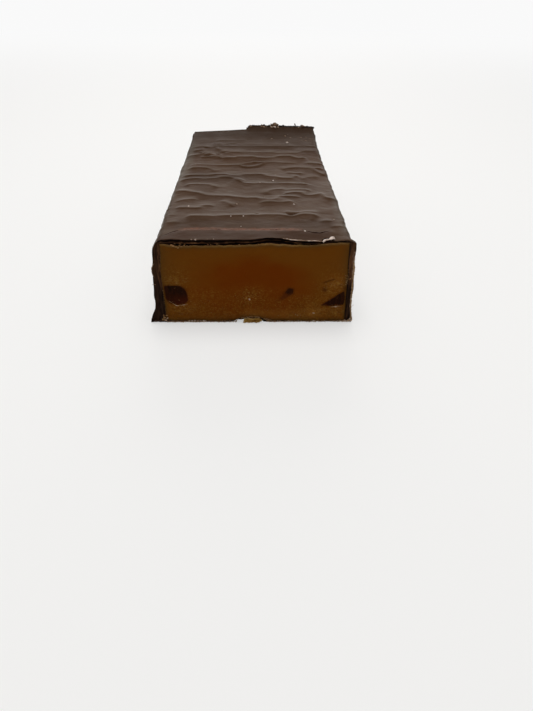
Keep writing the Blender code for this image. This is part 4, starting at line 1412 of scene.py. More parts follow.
def make_tail_crumbs(material):
    """Lumps of broken chocolate and fudge on the torn lip."""
    c = Crumbs(411)
    rng = c.rng

    def ramp(x):
        return float(smooth(LIP_FROM - 0.5, LIP_FROM + 1.3, np.array(x)))

    def lip(x):
        return HEIGHT - 0.22 + LIP_RISE * ramp(x) + 0.9 * float(
            swell_top(np.array(x), np.array(LENGTH)))

    y = LENGTH + LIP_REACH - 0.35
    for x, s, tone, up in ((-2.1, 0.52, 0.62, -0.10), (-1.4, 0.34, 0.35, 0.0),
                           (1.0, 0.34, 0.05, 0.0), (3.2, 0.55, 0.36, 0.20),
                           (4.1, 0.46, 0.10, 0.20), (6.4, 0.52, 0.10, 0.15),
                           (7.4, 0.72, 0.38, 0.35), (8.6, 0.95, 0.46, 0.50),
                           (9.6, 0.60, 0.42, 0.35), (8.1, 0.50, 0.72, -0.25),
                           (10.4, 0.38, 0.08, 0.0), (12.1, 0.50, 0.03, 0.35),
                           (12.9, 0.40, 0.12, 0.0), (14.6, 0.34, 0.05, 0.0),
                           (16.6, 0.40, 0.10, 0.0), (19.5, 0.50, 0.06, 0.20),
                           (20.2, 0.62, 0.46, 0.30), (21.0, 0.46, 0.54, 0.10),
                           (20.4, 0.55, 0.02, -0.30), (21.9, 0.42, 0.05, 0.10),
                           (23.3, 0.36, 0.12, 0.05)):
        c.add((x, y + rng.uniform(-0.2, 0.2), lip(x) + up),
              (s * rng.uniform(1.0, 1.4), s, s * 0.85), tone)
    # a thin flake that stands up
    c.add((17.1, y, lip(17.1) + 0.50), (0.26, 0.20, 0.95), 0.42,
          (0.0, -0.35, 0.3))
    # paler bits lying just inside the torn edge
    for x, yy, s, tone in ((2.9, -0.9, 0.46, 0.62), (4.0, -1.2, 0.50, 0.60),
                           (4.9, -1.0, 0.34, 0.44), (7.3, -1.3, 0.55, 0.70),
                           (8.5, -1.6, 0.75, 0.82), (9.7, -1.2, 0.50, 0.66),
                           (18.4, -1.0, 0.36, 0.55), (19.4, -0.9, 0.32, 0.42),
                           (-1.5, -0.8, 0.46, 0.58)):
        c.add((x, y + yy, lip(x) - 0.05 - 0.10 * yy * yy / 2.0),
              (s * 1.2, s, s * 0.6), tone)
    for _ in range(760):
        x = rng.uniform(LIP_FROM, LIP_TO)
        s = rng.uniform(0.14, 0.30)
        drawn = (1.0 - ramp(x)) * (LIP_REACH - 0.1)
        c.add((x, y - drawn + rng.uniform(-0.50, 0.25), lip(x)
               + rng.uniform(-0.35, 0.18)),
              (s * rng.uniform(1.0, 2.6), s, s * 0.6),
              rng.choice([0.0, 0.03, 0.06, 0.12, 0.3, 0.45],
                         p=[0.4, 0.2, 0.2, 0.1, 0.06, 0.04]))
    # a few caught in the foot near the uncut end
    for _ in range(70):
        side = rng.choice([-1.0, 1.0])
        yy = LENGTH - abs(rng.normal(0, 11.0))
        zz = rng.uniform(0.15, 1.2)
        s = rng.uniform(0.12, 0.32)
        x = float(coat_outer(side, np.array(zz), yy)) - side * (0.3 + s * 0.4)
        c.add((x, yy, zz), (s, s * 1.4, s * 0.8),
              rng.choice([0.05, 0.2, 0.45, 0.6]))
    for _ in range(30):
        x = rng.uniform(-24.0, 24.0)
        s = rng.uniform(0.12, 0.30)
        c.add((x, LENGTH + rng.uniform(0.1, 0.6), rng.uniform(0.12, 0.5)),
              (s * 1.3, s, s * 0.8), rng.choice([0.05, 0.2, 0.45]))
    return c.make("tail_crumbs", material)


def top_height(x, y):
    px, py = np.array([float(x)]), np.array([float(y)])
    return HEIGHT + float((top_field(px, py) + swell_top(px, py))[0])


def make_specks(material):
    """Specks of sugar and fat bloom on the coat."""
    c = Crumbs(517)
    rng = c.rng
    spots = [(-18.8, 22.0, 0.20, 0.8), (-5.1, 23.9, 0.17, 0.7),
             (11.5, 23.9, 0.19, 0.9), (-6.5, 14.5, 0.13, 0.9),
             (-3.0, 14.6, 0.15, 0.9), (13.3, 5.4, 0.20, 0.9),
             (-7.4, 4.6, 0.15, 0.9), (-3.6, 8.5, 0.10, 0.8),
             (6.1, 44.5, 0.22, 0.9), (12.7, 88.2, 0.30, 0.9),
             (6.9, 93.8, 0.26, 0.45), (12.4, 97.2, 0.30, 0.5),
             (14.4, 95.4, 0.24, 0.38), (20.2, 91.4, 0.20, 0.6),
             (21.4, 92.0, 0.16, 0.5), (18.6, 95.6, 0.18, 0.5),
             (20.6, 95.9, 0.16, 0.5), (22.6, 94.0, 0.16, 0.5),
             (1.8, 42.0, 0.13, 0.8), (-16.1, 0.75, 0.20, 0.72),
             (-15.1, 0.6, 0.22, 0.76), (-14.6, 0.7, 0.13, 0.7),
             (-12.0, 0.7, 0.12, 0.6), (-10.4, 0.6, 0.15, 0.7),
             (-9.8, 0.7, 0.11, 0.6), (3.0, 30.0, 0.08, 0.7),
             (-20.0, 60.0, 0.09, 0.7), (22.0, 13.6, 0.12, 0.7)]
    for x, y, s, tone in spots:
        up = 1.5 if y < 2.0 else 1.0
        s = 1.3 * s
        c.add((x, y, top_height(x, y) + 0.02), (s, s * 1.2, s * 0.45 * up),
              tone, (0, 0, rng.uniform(0, 3)))
    # broken pale streaks at the far right
    for x0, x1, y in ((17.6, 19.6, 91.0), (20.4, 23.0, 91.6),
                      (18.6, 20.6, 93.6), (21.4, 23.4, 94.2),
                      (16.8, 18.2, 95.4), (19.2, 22.4, 89.6)):
        for x in np.linspace(x0, x1, 9):
            if rng.random() < 0.3:
                continue
            yy = y + rng.uniform(-0.15, 0.15)
            s = rng.uniform(0.05, 0.10)
            c.add((x, yy, top_height(x, yy) + 0.01),
                  (s * 2.0, s, s * 0.4), rng.uniform(0.3, 0.55), (0, 0, 0))
    for _ in range(90):
        x, y = rng.uniform(-23, 23), rng.uniform(9, LENGTH - 3)
        s = rng.uniform(0.03, 0.07)
        c.add((x, y, top_height(x, y) + 0.005), (s, s, s * 0.5),
              rng.uniform(0.3, 0.7), (0, 0, 0))
    return c.make("sugar_specks", material)


def sheet_piece(name, grid, thick, material, tone):
    """A thin curled shaving from a grid of points, with Solidify."""
    nu, nv = grid.shape[:2]
    index = np.arange(nu * nv).reshape(nu, nv)
    obj = build(name, grid.reshape(-1, 3), grid_faces(index).tolist(),
                material, {"tone": tone.ravel()}, sharp=60)
    mod = obj.modifiers.new("thick", 'SOLIDIFY')
    mod.thickness = thick * 0.001
    mod.offset = 0.0
    graph = bpy.context.evaluated_depsgraph_get()
    mesh = bpy.data.meshes.new_from_object(obj.evaluated_get(graph))
    obj.modifiers.clear()
    old = obj.data
    obj.data = mesh
    bpy.data.meshes.remove(old)
    return obj


def make_shavings(material):
    """Curled chips that the knife lifted along the cut."""
    pieces = []
    # the long sliver along the top's front edge that ends in a curl; its pale
    # tone is partly a painted highlight on the broken edge
    u = np.linspace(0, 1, 90)[:, None]
    v = np.linspace(0, 1, 7)[None, :]
    line = curve_through([(7.4, 1.35), (8.8, 0.95), (11.0, 0.40),
                          (14.0, 0.08), (16.4, -0.12), (17.6, -0.10)],
                         per=18)
    at = u[:, 0] * (len(line) - 1)
    lx = np.interp(at, np.arange(len(line)), line[:, 0])[:, None]
    ly = np.interp(at, np.arange(len(line)), line[:, 1])[:, None]
    wide = 0.20 * np.sin(np.clip(u * 1.1, 0, 1) * math.pi) ** 0.5 * \
        (0.8 + 0.5 * noise(u * 14, 2.0, 0, 601)) + 0.05
    x = lx + 0 * v
    y = ly - 0.03 + wide * (v - 0.15)
    z = HEIGHT + 0.02 + swell_top(x, 0.0 * x) + 0.12 * np.sin(
        v * math.pi * 0.6) * \
        (0.7 + 0.5 * noise(u * 9, 4.0, 0, 602)) + 0.08 * np.sin(u * 3.1)
    tone = 0.66 + 0.3 * noise(u * 20, v * 2, 0, 603)
    pieces.append(sheet_piece("edge_sliver", np.stack(
        np.broadcast_arrays(x, y, z), -1), 0.10, material, tone))
    # the curl: a shaving rolled up and back, in two lobes
    u = np.linspace(0, 1, 60)[:, None]
    v = np.linspace(0, 1, 15)[None, :]
    lobes = 0.44 + 0.40 * np.exp(-((u - 0.26) / 0.15) ** 2) \
        + 0.88 * np.exp(-((u - 0.76) / 0.20) ** 2)
    lobes = lobes * np.clip(u / 0.12, 0.25, 1.0) * \
        np.clip((1.04 - u) / 0.10, 0.35, 1.0)
    bend = (v - 0.1) * 2.5 + 0.4 * np.sin(u * 7.0)
    x = 17.55 + 3.1 * u + 0.15 * np.sin(v * 5 + u * 9)
    y = -0.10 + 0.95 * u ** 1.3 + lobes * 0.40 * np.sin(bend)
    z = HEIGHT - 0.50 + 0.62 * u ** 0.8 * (1 - 0.35 * u) + \
        lobes * (0.60 * v + 0.20 * np.cos(bend)) - 0.12
    x, y, z = np.broadcast_arrays(x, y, z)
    jag = 0.10 * noise(x / 0.3, v * 3 + 0 * x, 0, 604)
    tone = np.clip(1.0 - 0.30 * np.clip(0.22 - v, 0, 1) * 4
                   + 0.10 * noise(x / 0.5, v * 3 + 0 * x, 0, 605), 0, 1)
    pieces.append(sheet_piece("curled_chip", np.stack([x, y + jag, z + jag],
                                                      -1), 0.13, material,
                              tone))
    # a flake lifted from the left flank
    u = np.linspace(0, 1, 30)[:, None]
    v = np.linspace(0, 1, 9)[None, :]
    z = 18.3 - 4.1 * u + 0 * v
    base_x = coat_outer(-1.0, z)
    x = base_x + 0.05 - (0.62 - 0.20 * u) * np.sin(
        np.clip(u * 1.0 + 0.06, 0, 1) * math.pi) ** 0.5 * v
    y = -0.05 + 0.75 * (1 - v) * (0.3 + 0.7 * np.sin(u * math.pi)) - 0.12 * v
    x, y, z = np.broadcast_arrays(x, y, z)
    jag = 0.05 * noise(z / 0.35, v + 0 * z, 0, 607)
    tone = np.clip(0.16 + (0.20 + 0.34 * (1 - u)) * v + 0.16 * noise(
        z / 0.4, y / 0.3, 0, 606), 0, 1)
    pieces.append(sheet_piece("flank_flake", np.stack([x + jag, y, z], -1),
                              0.12, material, tone))
    return pieces


def make_gold_flake(material):
    """The golden flake that broke off the slab's lower edge."""
    u = np.linspace(0, 1, 64)[:, None]
    v = np.linspace(0, 1, 20)[None, :]
    x = -2.95 + 4.95 * u - 0.40 * (1 - v) * (1 - u)
    low = 0.10 + 0.34 * u ** 2 + 0.50 * smooth(0.93, 1.0, u)
    high = 1.22 + 0.14 * smooth(0.0, 0.4, u) - 0.62 * smooth(0.88, 1.0, u)
    z = low + (high - low) * v
    y = -0.52 + 0.42 * v + 0.10 * np.sin(u * 7 + v * 2)
    x, y, z = np.broadcast_arrays(x, y, z)
    # knife strokes along it, and a broken outline
    j = 0.05 * noise(x / 1.9, z / 0.13, 0, 611) \
        + 0.04 * fbm(x / 0.5, z / 0.3, 0.0, 3, 614)
    rim = np.minimum(np.minimum(u * 4.0, (1 - u) * 5.3),
                     np.minimum(v * 0.8, (1 - v) * 1.6))
    tone = np.clip(0.36 + 0.34 * np.exp(-(rim / 0.15) ** 2)
                   + 0.40 * np.exp(-(u / 0.07) ** 2)
                   + 0.30 * noise(x / 2.4, z / 0.14, 0, 612)
                   + 0.16 * noise(x / 0.5, z / 0.2, 0, 615), 0, 1)
    ragged = 0.12 * noise(x / 0.40, 1.0 + 0 * x, 0, 613)
    z = z + ragged * (1 - v) - ragged * v * 0.6
    return sheet_piece("golden_flake", np.stack([x, y + j, z], -1), 0.42,
                       material, tone)


def make_hairs(material):
    """Two fine threads of chocolate that the knife pulled out."""
    verts, faces, total = [], [], 0
    for pts, r in (([(-26.6, 0.1, 12.05), (-27.0, -0.1, 12.2),
                     (-27.5, -0.1, 12.1)], 0.12),
                   ([(26.7, 0.1, 5.0), (27.1, -0.2, 5.3),
                     (27.5, -0.3, 5.9)], 0.08)):
        line = []
        p = np.asarray(pts)
        for k in range(13):
            t = k / 12
            a = (1 - t) ** 2 * p[0] + 2 * t * (1 - t) * p[1] + t * t * p[2]
            line.append(a)
        line = np.array(line)
        for k, a in enumerate(line):
            rr = r * (1 - 0.6 * k / 12)
            for j in range(8):
                w = j / 8 * 2 * math.pi
                verts.append(a + rr * np.array([0.2 * math.cos(w),
                                                math.cos(w), math.sin(w)]))
        for k in range(12):
            for j in range(8):
                a = total + k * 8 + j
                b = total + k * 8 + (j + 1) % 8
                faces.append([a, b, b + 8, a + 8])
        faces.append([total + j for j in range(8)][::-1])
        faces.append([total + 96 + j for j in range(8)])
        total += 104
    return build("knife_threads", np.array(verts), faces, material,
                 {"tone": np.repeat([0.50, 0.72], total // 2)})


# ------------------------------------------------------------------ materials
class Nodes:
    """Short words for building a node material."""

    def __init__(self, name):
        self.material = bpy.data.materials.new(name)
        self.material.use_nodes = True
        self.tree = self.material.node_tree
        self.shader = self.tree.nodes["Principled BSDF"]
        self.object = self.tree.nodes.new("ShaderNodeTexCoord").outputs[
            "Object"]

    def set(self, **values):
        for key, value in values.items():
            socket = self.shader.inputs[key.replace("_", " ")]
            socket.default_value = value

    def link(self, a, b):
        self.tree.links.new(a, b)

    def stretch(self, scale):
        node = self.tree.nodes.new("ShaderNodeVectorMath")
        node.operation = 'MULTIPLY'
        node.inputs[1].default_value = scale
        self.link(self.object, node.inputs[0])
        return node.outputs[0]

    def noise(self, size_mm, detail=3.0, rough=0.5, stretch=None,
              distortion=0.0):
        node = self.tree.nodes.new("ShaderNodeTexNoise")
        node.inputs["Scale"].default_value = 1000.0 / size_mm
        node.inputs["Detail"].default_value = detail
        node.inputs["Roughness"].default_value = rough
        node.inputs["Distortion"].default_value = distortion
        source = self.stretch(stretch) if stretch else self.object
        self.link(source, node.inputs["Vector"])
        return node.outputs["Fac"]

    def mask(self, key):
        node = self.tree.nodes.new("ShaderNodeAttribute")
        node.attribute_name = key
        return node.outputs["Fac"]

    def ramp(self, value, low, high, a=0.0, b=1.0):
        node = self.tree.nodes.new("ShaderNodeMapRange")
        node.inputs["From Min"].default_value = low
        node.inputs["From Max"].default_value = high
        node.inputs["To Min"].default_value = a
        node.inputs["To Max"].default_value = b
        self.link(value, node.inputs["Value"])
        return node.outputs["Result"]

    def sums(self, kind, a, b):
        node = self.tree.nodes.new("ShaderNodeMath")
        node.operation = kind
        for k, item in enumerate((a, b)):
            if isinstance(item, (int, float)):
                node.inputs[k].default_value = item
            else:
                self.link(item, node.inputs[k])
        return node.outputs[0]

    def mix(self, factor, a, b, kind='MIX'):
        node = self.tree.nodes.new("ShaderNodeMix")
        node.data_type = 'RGBA'
        node.blend_type = kind
        self.link(factor, node.inputs[0]) if not isinstance(
            factor, float) else setattr(node.inputs[0], "default_value",
                                        factor)
        for socket, item in ((node.inputs[6], a), (node.inputs[7], b)):
            if isinstance(item, tuple):
                socket.default_value = (*item, 1.0)
            else:
                self.link(item, socket)
        return node.outputs[2]

    def bump(self, height, strength, distance_mm, below=None):
        node = self.tree.nodes.new("ShaderNodeBump")
        node.inputs["Strength"].default_value = strength
        node.inputs["Distance"].default_value = distance_mm * 0.001
        self.link(height, node.inputs["Height"])
        if below is not None:
            self.link(below, node.inputs["Normal"])
        return node.outputs["Normal"]


def chocolate():
    """The outside: flow-set dark chocolate with a satin skin."""
    n = Nodes("dark_chocolate_skin")
    cloud = n.ramp(n.noise(14.0, 3.0, 0.55), 0.35, 0.68)
    fine = n.ramp(n.noise(2.2, 4.0, 0.6), 0.30, 0.75)
    skin = n.mix(cloud, (0.0570, 0.0275, 0.0130), (0.0700, 0.0365, 0.0190))
    skin = n.mix(n.sums('MULTIPLY', fine, 0.35), skin,
                 (0.0510, 0.0243, 0.0118))
    # painted highlight on the crests and painted shade in the folds
    skin = n.mix(n.sums('MULTIPLY', n.mask("crest"), 0.50), skin,
                 (0.1250, 0.0960, 0.0740))
    skin = n.mix(n.sums('MULTIPLY', n.mask("fold"), 0.50), skin,
                 (0.0250, 0.0115, 0.0065))
    # the loosened strip is a touch redder
    skin = n.mix(n.sums('MULTIPLY', n.mask("strip"), 0.70), skin,
                 (0.0500, 0.0235, 0.0130))
    # painted sheen on the top's margins and the upper left flank
    skin = n.mix(n.sums('MULTIPLY', n.mask("margin_sheen"), 0.55), skin,
                 (0.1400, 0.1280, 0.1080))
    # painted shade from the shade mask
    skin = n.mix(n.mask("shade"), skin, (0.0130, 0.0085, 0.0065))
    mottle = n.ramp(n.noise(0.95, 3.0, 0.6, (1.0, 2.0, 1.0)), 0.42, 0.60,
                    0.30, 1.0)
    skin = n.mix(n.sums('MULTIPLY', n.mask("warm"), mottle), skin,
                 (0.1400, 0.0520, 0.0270))
    # painted shade inside the crack
    skin = n.mix(n.mask("cleft_shade"), skin, (0.0240, 0.0040, 0.0028))
    skin = n.mix(n.mask("pale"), skin, (0.0420, 0.0230, 0.0150))
    n.link(skin, n.shader.inputs["Base Color"])
    matt = n.ramp(n.noise(5.0, 4.0, 0.6), 0.3, 0.7, 0.40, 0.50)
    n.link(matt, n.shader.inputs["Roughness"])
    # the top is silky, the sides a little glossier
    shine = n.ramp(n.mask("gloss"), 0.0, 1.0, 0.024, 0.16)
    shine = n.sums('MULTIPLY', shine, n.ramp(n.mask("hush"), 0.0, 1.0, 1.0,
                                             0.36))
    n.link(n.sums('MULTIPLY', shine, n.ramp(n.mask("shade"), 0.0, 0.6, 1.0,
                                            0.2)),
           n.shader.inputs["Specular IOR Level"])
    n.set(IOR=1.46)
    first = n.bump(n.noise(1.1, 3.0, 0.55), 0.30, 0.10)
    second = n.bump(n.noise(0.22, 2.0, 0.5), 0.18, 0.04, first)
    n.link(second, n.shader.inputs["Normal"])
    return n.material


def broken_chocolate():
    """The cut and snapped inside of the coat, streaked by the knife. Its darkest
    tones are painted shade in the section's gaps and recesses.
    """
    n = Nodes("dark_chocolate_broken")
    # upright strokes on the side walls, level ones under the top
    strokes = []
    for size, upright, level in ((0.50, (1.0, 1.0, 0.12), (0.16, 1.0, 1.5)),
                                 (1.3, (1.0, 1.0, 0.10), (0.20, 1.0, 2.0))):
        node = n.tree.nodes.new("ShaderNodeMix")
        node.data_type = 'FLOAT'
        n.link(n.mask("level"), node.inputs[0])
        n.link(n.noise(size, 3.0, 0.6, upright), node.inputs[2])
        n.link(n.noise(size, 3.0, 0.6, level), node.inputs[3])
        strokes.append(n.ramp(node.outputs[0], 0.41, 0.59))
    streak, wide = strokes
    # dark: painted shade in the gaps and recesses of the section; brown: the cut
    # chocolate
    dark = n.mix(streak, (0.0046, 0.0018, 0.0012), (0.0165, 0.0080, 0.0054))
    dark = n.mix(n.sums('MULTIPLY', wide, 0.6), dark,
                 (0.0070, 0.0032, 0.0022))
    brown = n.mix(streak, (0.0360, 0.0120, 0.0055), (0.1750, 0.0780, 0.0320))
    brown = n.mix(n.sums('MULTIPLY', wide, 0.55), brown,
                  (0.0860, 0.0350, 0.0150))
    inside = n.mix(n.mask("wall"), dark, brown)
    inside = n.mix(n.mask("pale"), inside, (0.3400, 0.2000, 0.1350))
    n.link(inside, n.shader.inputs["Base Color"])
    n.set(Roughness=0.72, Specular_IOR_Level=0.05)
    n.link(n.bump(n.noise(0.35, 3.0, 0.6, (1.0, 1.0, 0.3)), 0.35, 0.10),
           n.shader.inputs["Normal"])
    return n.material


def fudge():
    n = Nodes("ginger_fudge_cut")
    cloud = n.ramp(n.noise(13.0, 2.0, 0.5, None, 0.3), 0.36, 0.66)
    patch = n.ramp(n.noise(5.0, 3.0, 0.55), 0.38, 0.70)
    body = n.mix(cloud, (0.1630, 0.0325, 0.0005), (0.1670, 0.0385, 0.0010))
    body = n.mix(n.sums('MULTIPLY', patch, 0.35), body,
                 (0.1470, 0.0285, 0.0005))
    body = n.mix(n.sums('MULTIPLY', n.mask("olive"), 0.85), body,
                 (0.1660, 0.0560, 0.0045))
    body = n.mix(n.sums('MULTIPLY', n.mask("grain"), 0.40), body,
                 (0.1600, 0.0470, 0.0024))
    # sugar grain: fine dots everywhere in the grainy part, some brighter
    dots = n.ramp(n.noise(0.34, 2.0, 0.6), 0.48, 0.64)
    body = n.mix(n.sums('MULTIPLY', n.sums('MULTIPLY', n.mask("grain"),
                                           dots), 0.45), body,
                 (0.2900, 0.1400, 0.0260))
    stars = n.ramp(n.noise(0.62, 2.0, 0.6), 0.60, 0.70)
    body = n.mix(n.sums('MULTIPLY', n.sums('MULTIPLY', n.mask("grain"),
                                           stars), 0.55), body,
                 (0.3800, 0.2100, 0.0520))
    holes = n.ramp(n.noise(0.55, 2.0, 0.6, (1.0, 1.0, 1.3)), 0.36, 0.42,
                   1.0, 0.0)
    body = n.mix(n.sums('MULTIPLY', n.sums('MULTIPLY', n.mask("grain"),
                                           holes), 0.40), body,
                 (0.0900, 0.0220, 0.0010))
    # painted glints
    glint = n.sums('MULTIPLY', n.mask("glint"), n.ramp(
        n.noise(0.80, 3.0, 0.7, (0.7, 1.0, 1.2)), 0.50, 0.64))
    body = n.mix(n.sums('MULTIPLY', glint, 0.75), body,
                 (0.3600, 0.2000, 0.0420))
    # painted light on the face
    body = n.mix(n.mask("lit"), body, (0.3200, 0.1250, 0.0200))
    # painted shade along the face's edges and by the walls
    body = n.mix(n.sums('MULTIPLY', n.mask("edge"), 0.70), body,
                 (0.0850, 0.0450, 0.0105))
    # paler top edge, partly a painted highlight
    body = n.mix(n.sums('MULTIPLY', n.mask("fringe"), 0.70), body,
                 (0.2500, 0.1450, 0.0480))
    # dark stains round the dice, with painted shade by the right wall
    body = n.mix(n.mask("stain"), body, (0.0500, 0.0120, 0.0015))
    # painted shade: the slab's sides and back, seen only through the gap in the
    # coat, are nearly black
    body = n.mix(n.ramp(n.mask("face"), 0.75, 0.98), (0.0120, 0.0045, 0.0028),
                 body)
    n.link(body, n.shader.inputs["Base Color"])
    n.link(n.ramp(n.noise(1.5, 3.0, 0.6), 0.3, 0.7, 0.62, 0.80),
           n.shader.inputs["Roughness"])
    n.set(Specular_IOR_Level=0.02, Subsurface_Weight=0.15,
          Subsurface_Radius=(1.0, 0.40, 0.12), Subsurface_Scale=0.0010)
    first = n.bump(n.noise(0.55, 4.0, 0.65), 0.35, 0.10)
    second = n.bump(n.noise(0.8, 2.0, 0.5, (0.25, 1.0, 1.0)), 0.25, 0.08,
                    first)
    n.link(second, n.shader.inputs["Normal"])
    return n.material


def ginger():
    n = Nodes("stem_ginger")
    fibre = n.ramp(n.noise(0.5, 4.0, 0.6, (1.0, 1.0, 0.2)), 0.36, 0.68)
    cloud = n.ramp(n.noise(2.6, 2.0, 0.5), 0.4, 0.7)
    body = n.mix(fibre, (0.0110, 0.0028, 0.0006), (0.0300, 0.0068, 0.0018))
    body = n.mix(n.sums('MULTIPLY', cloud, 0.30), body,
                 (0.0420, 0.0100, 0.0018))
    body = n.mix(n.mask("ruddy"), body, (0.0620, 0.0095, 0.0018))
    rim = n.ramp(n.mask("soft"), 0.0, 1.0)
    body = n.mix(rim, body, (0.1150, 0.0260, 0.0022))
    n.link(body, n.shader.inputs["Base Color"])
    n.link(n.ramp(n.noise(0.9, 3.0, 0.6), 0.3, 0.7, 0.48, 0.64),
           n.shader.inputs["Roughness"])
    n.set(Specular_IOR_Level=0.03)
    n.link(n.bump(n.noise(0.35, 3.0, 0.6, (1.0, 1.0, 0.25)), 0.4, 0.08),
           n.shader.inputs["Normal"])
    return n.material


def crumb():
    """Lumps from dark chocolate at tone 0 through fudge to pale sugar."""
    n = Nodes("crumb")
    tone = n.mask("tone")
    a = n.mix(n.ramp(tone, 0.0, 0.25), (0.0260, 0.0130, 0.0090),
              (0.1300, 0.0560, 0.0140))
    b = n.mix(n.ramp(tone, 0.25, 0.65), a, (0.3600, 0.2050, 0.0850))
    c = n.mix(n.ramp(tone, 0.65, 1.0), b, (0.6600, 0.5200, 0.4300))
    speck = n.ramp(n.noise(0.3, 3.0, 0.6), 0.35, 0.7, 0.0, 0.35)
    d = n.mix(speck, c, n.mix(1.0, c, (0.72, 0.62, 0.50), 'MULTIPLY'))
    n.link(d, n.shader.inputs["Base Color"])
    n.link(n.ramp(n.noise(0.5, 2.0, 0.5), 0.3, 0.7, 0.55, 0.80),
           n.shader.inputs["Roughness"])
    n.set(Specular_IOR_Level=0.25, Subsurface_Weight=0.15,
          Subsurface_Radius=(1.0, 0.45, 0.2), Subsurface_Scale=0.0006)
    n.link(n.bump(n.noise(0.18, 3.0, 0.6), 0.4, 0.05),
           n.shader.inputs["Normal"])
    return n.material


def chip():
    """Chocolate lumps and shavings, from dark at tone 0 to bloomed at 1."""
    n = Nodes("chocolate_chip")
    tone = n.mask("tone")
    a = n.mix(n.ramp(tone, 0.0, 0.30), (0.0130, 0.0070, 0.0050),
              (0.0700, 0.0400, 0.0260))
    b = n.mix(n.ramp(tone, 0.30, 0.65), a, (0.3000, 0.1900, 0.1200))
    c = n.mix(n.ramp(tone, 0.65, 1.0), b, (0.8800, 0.7600, 0.6900))
    speck = n.ramp(n.noise(0.3, 3.0, 0.6), 0.35, 0.7, 0.0, 0.35)
    d = n.mix(speck, c, n.mix(1.0, c, (0.70, 0.62, 0.55), 'MULTIPLY'))
    n.link(d, n.shader.inputs["Base Color"])
    n.link(n.ramp(n.noise(0.5, 2.0, 0.5), 0.3, 0.7, 0.55, 0.80),
           n.shader.inputs["Roughness"])
    n.set(Specular_IOR_Level=0.15)
    n.link(n.bump(n.noise(0.18, 3.0, 0.6), 0.4, 0.05),
           n.shader.inputs["Normal"])
    return n.material


def golden():
    """The flake of fudge that broke off the lower edge, drier and paler."""
    n = Nodes("golden_fudge_flake")
    streak = n.ramp(n.noise(0.5, 4.0, 0.6, (0.3, 1.0, 1.0)), 0.36, 0.68)
    body = n.mix(streak, (0.2100, 0.1000, 0.0120), (0.4000, 0.2200, 0.0500))
    body = n.mix(n.ramp(n.mask("tone"), 0.10, 0.40, 1.0, 0.0), body,
                 (0.1300, 0.0520, 0.0060))
    body = n.mix(n.ramp(n.mask("tone"), 0.50, 1.0), body,
                 (0.6200, 0.4400, 0.2200))
    n.link(body, n.shader.inputs["Base Color"])
    n.set(Roughness=0.65, Specular_IOR_Level=0.08, Subsurface_Weight=0.15,
          Subsurface_Radius=(1.0, 0.45, 0.15), Subsurface_Scale=0.0006)
    n.link(n.bump(n.noise(0.30, 3.0, 0.6), 0.4, 0.08),
           n.shader.inputs["Normal"])
    return n.material


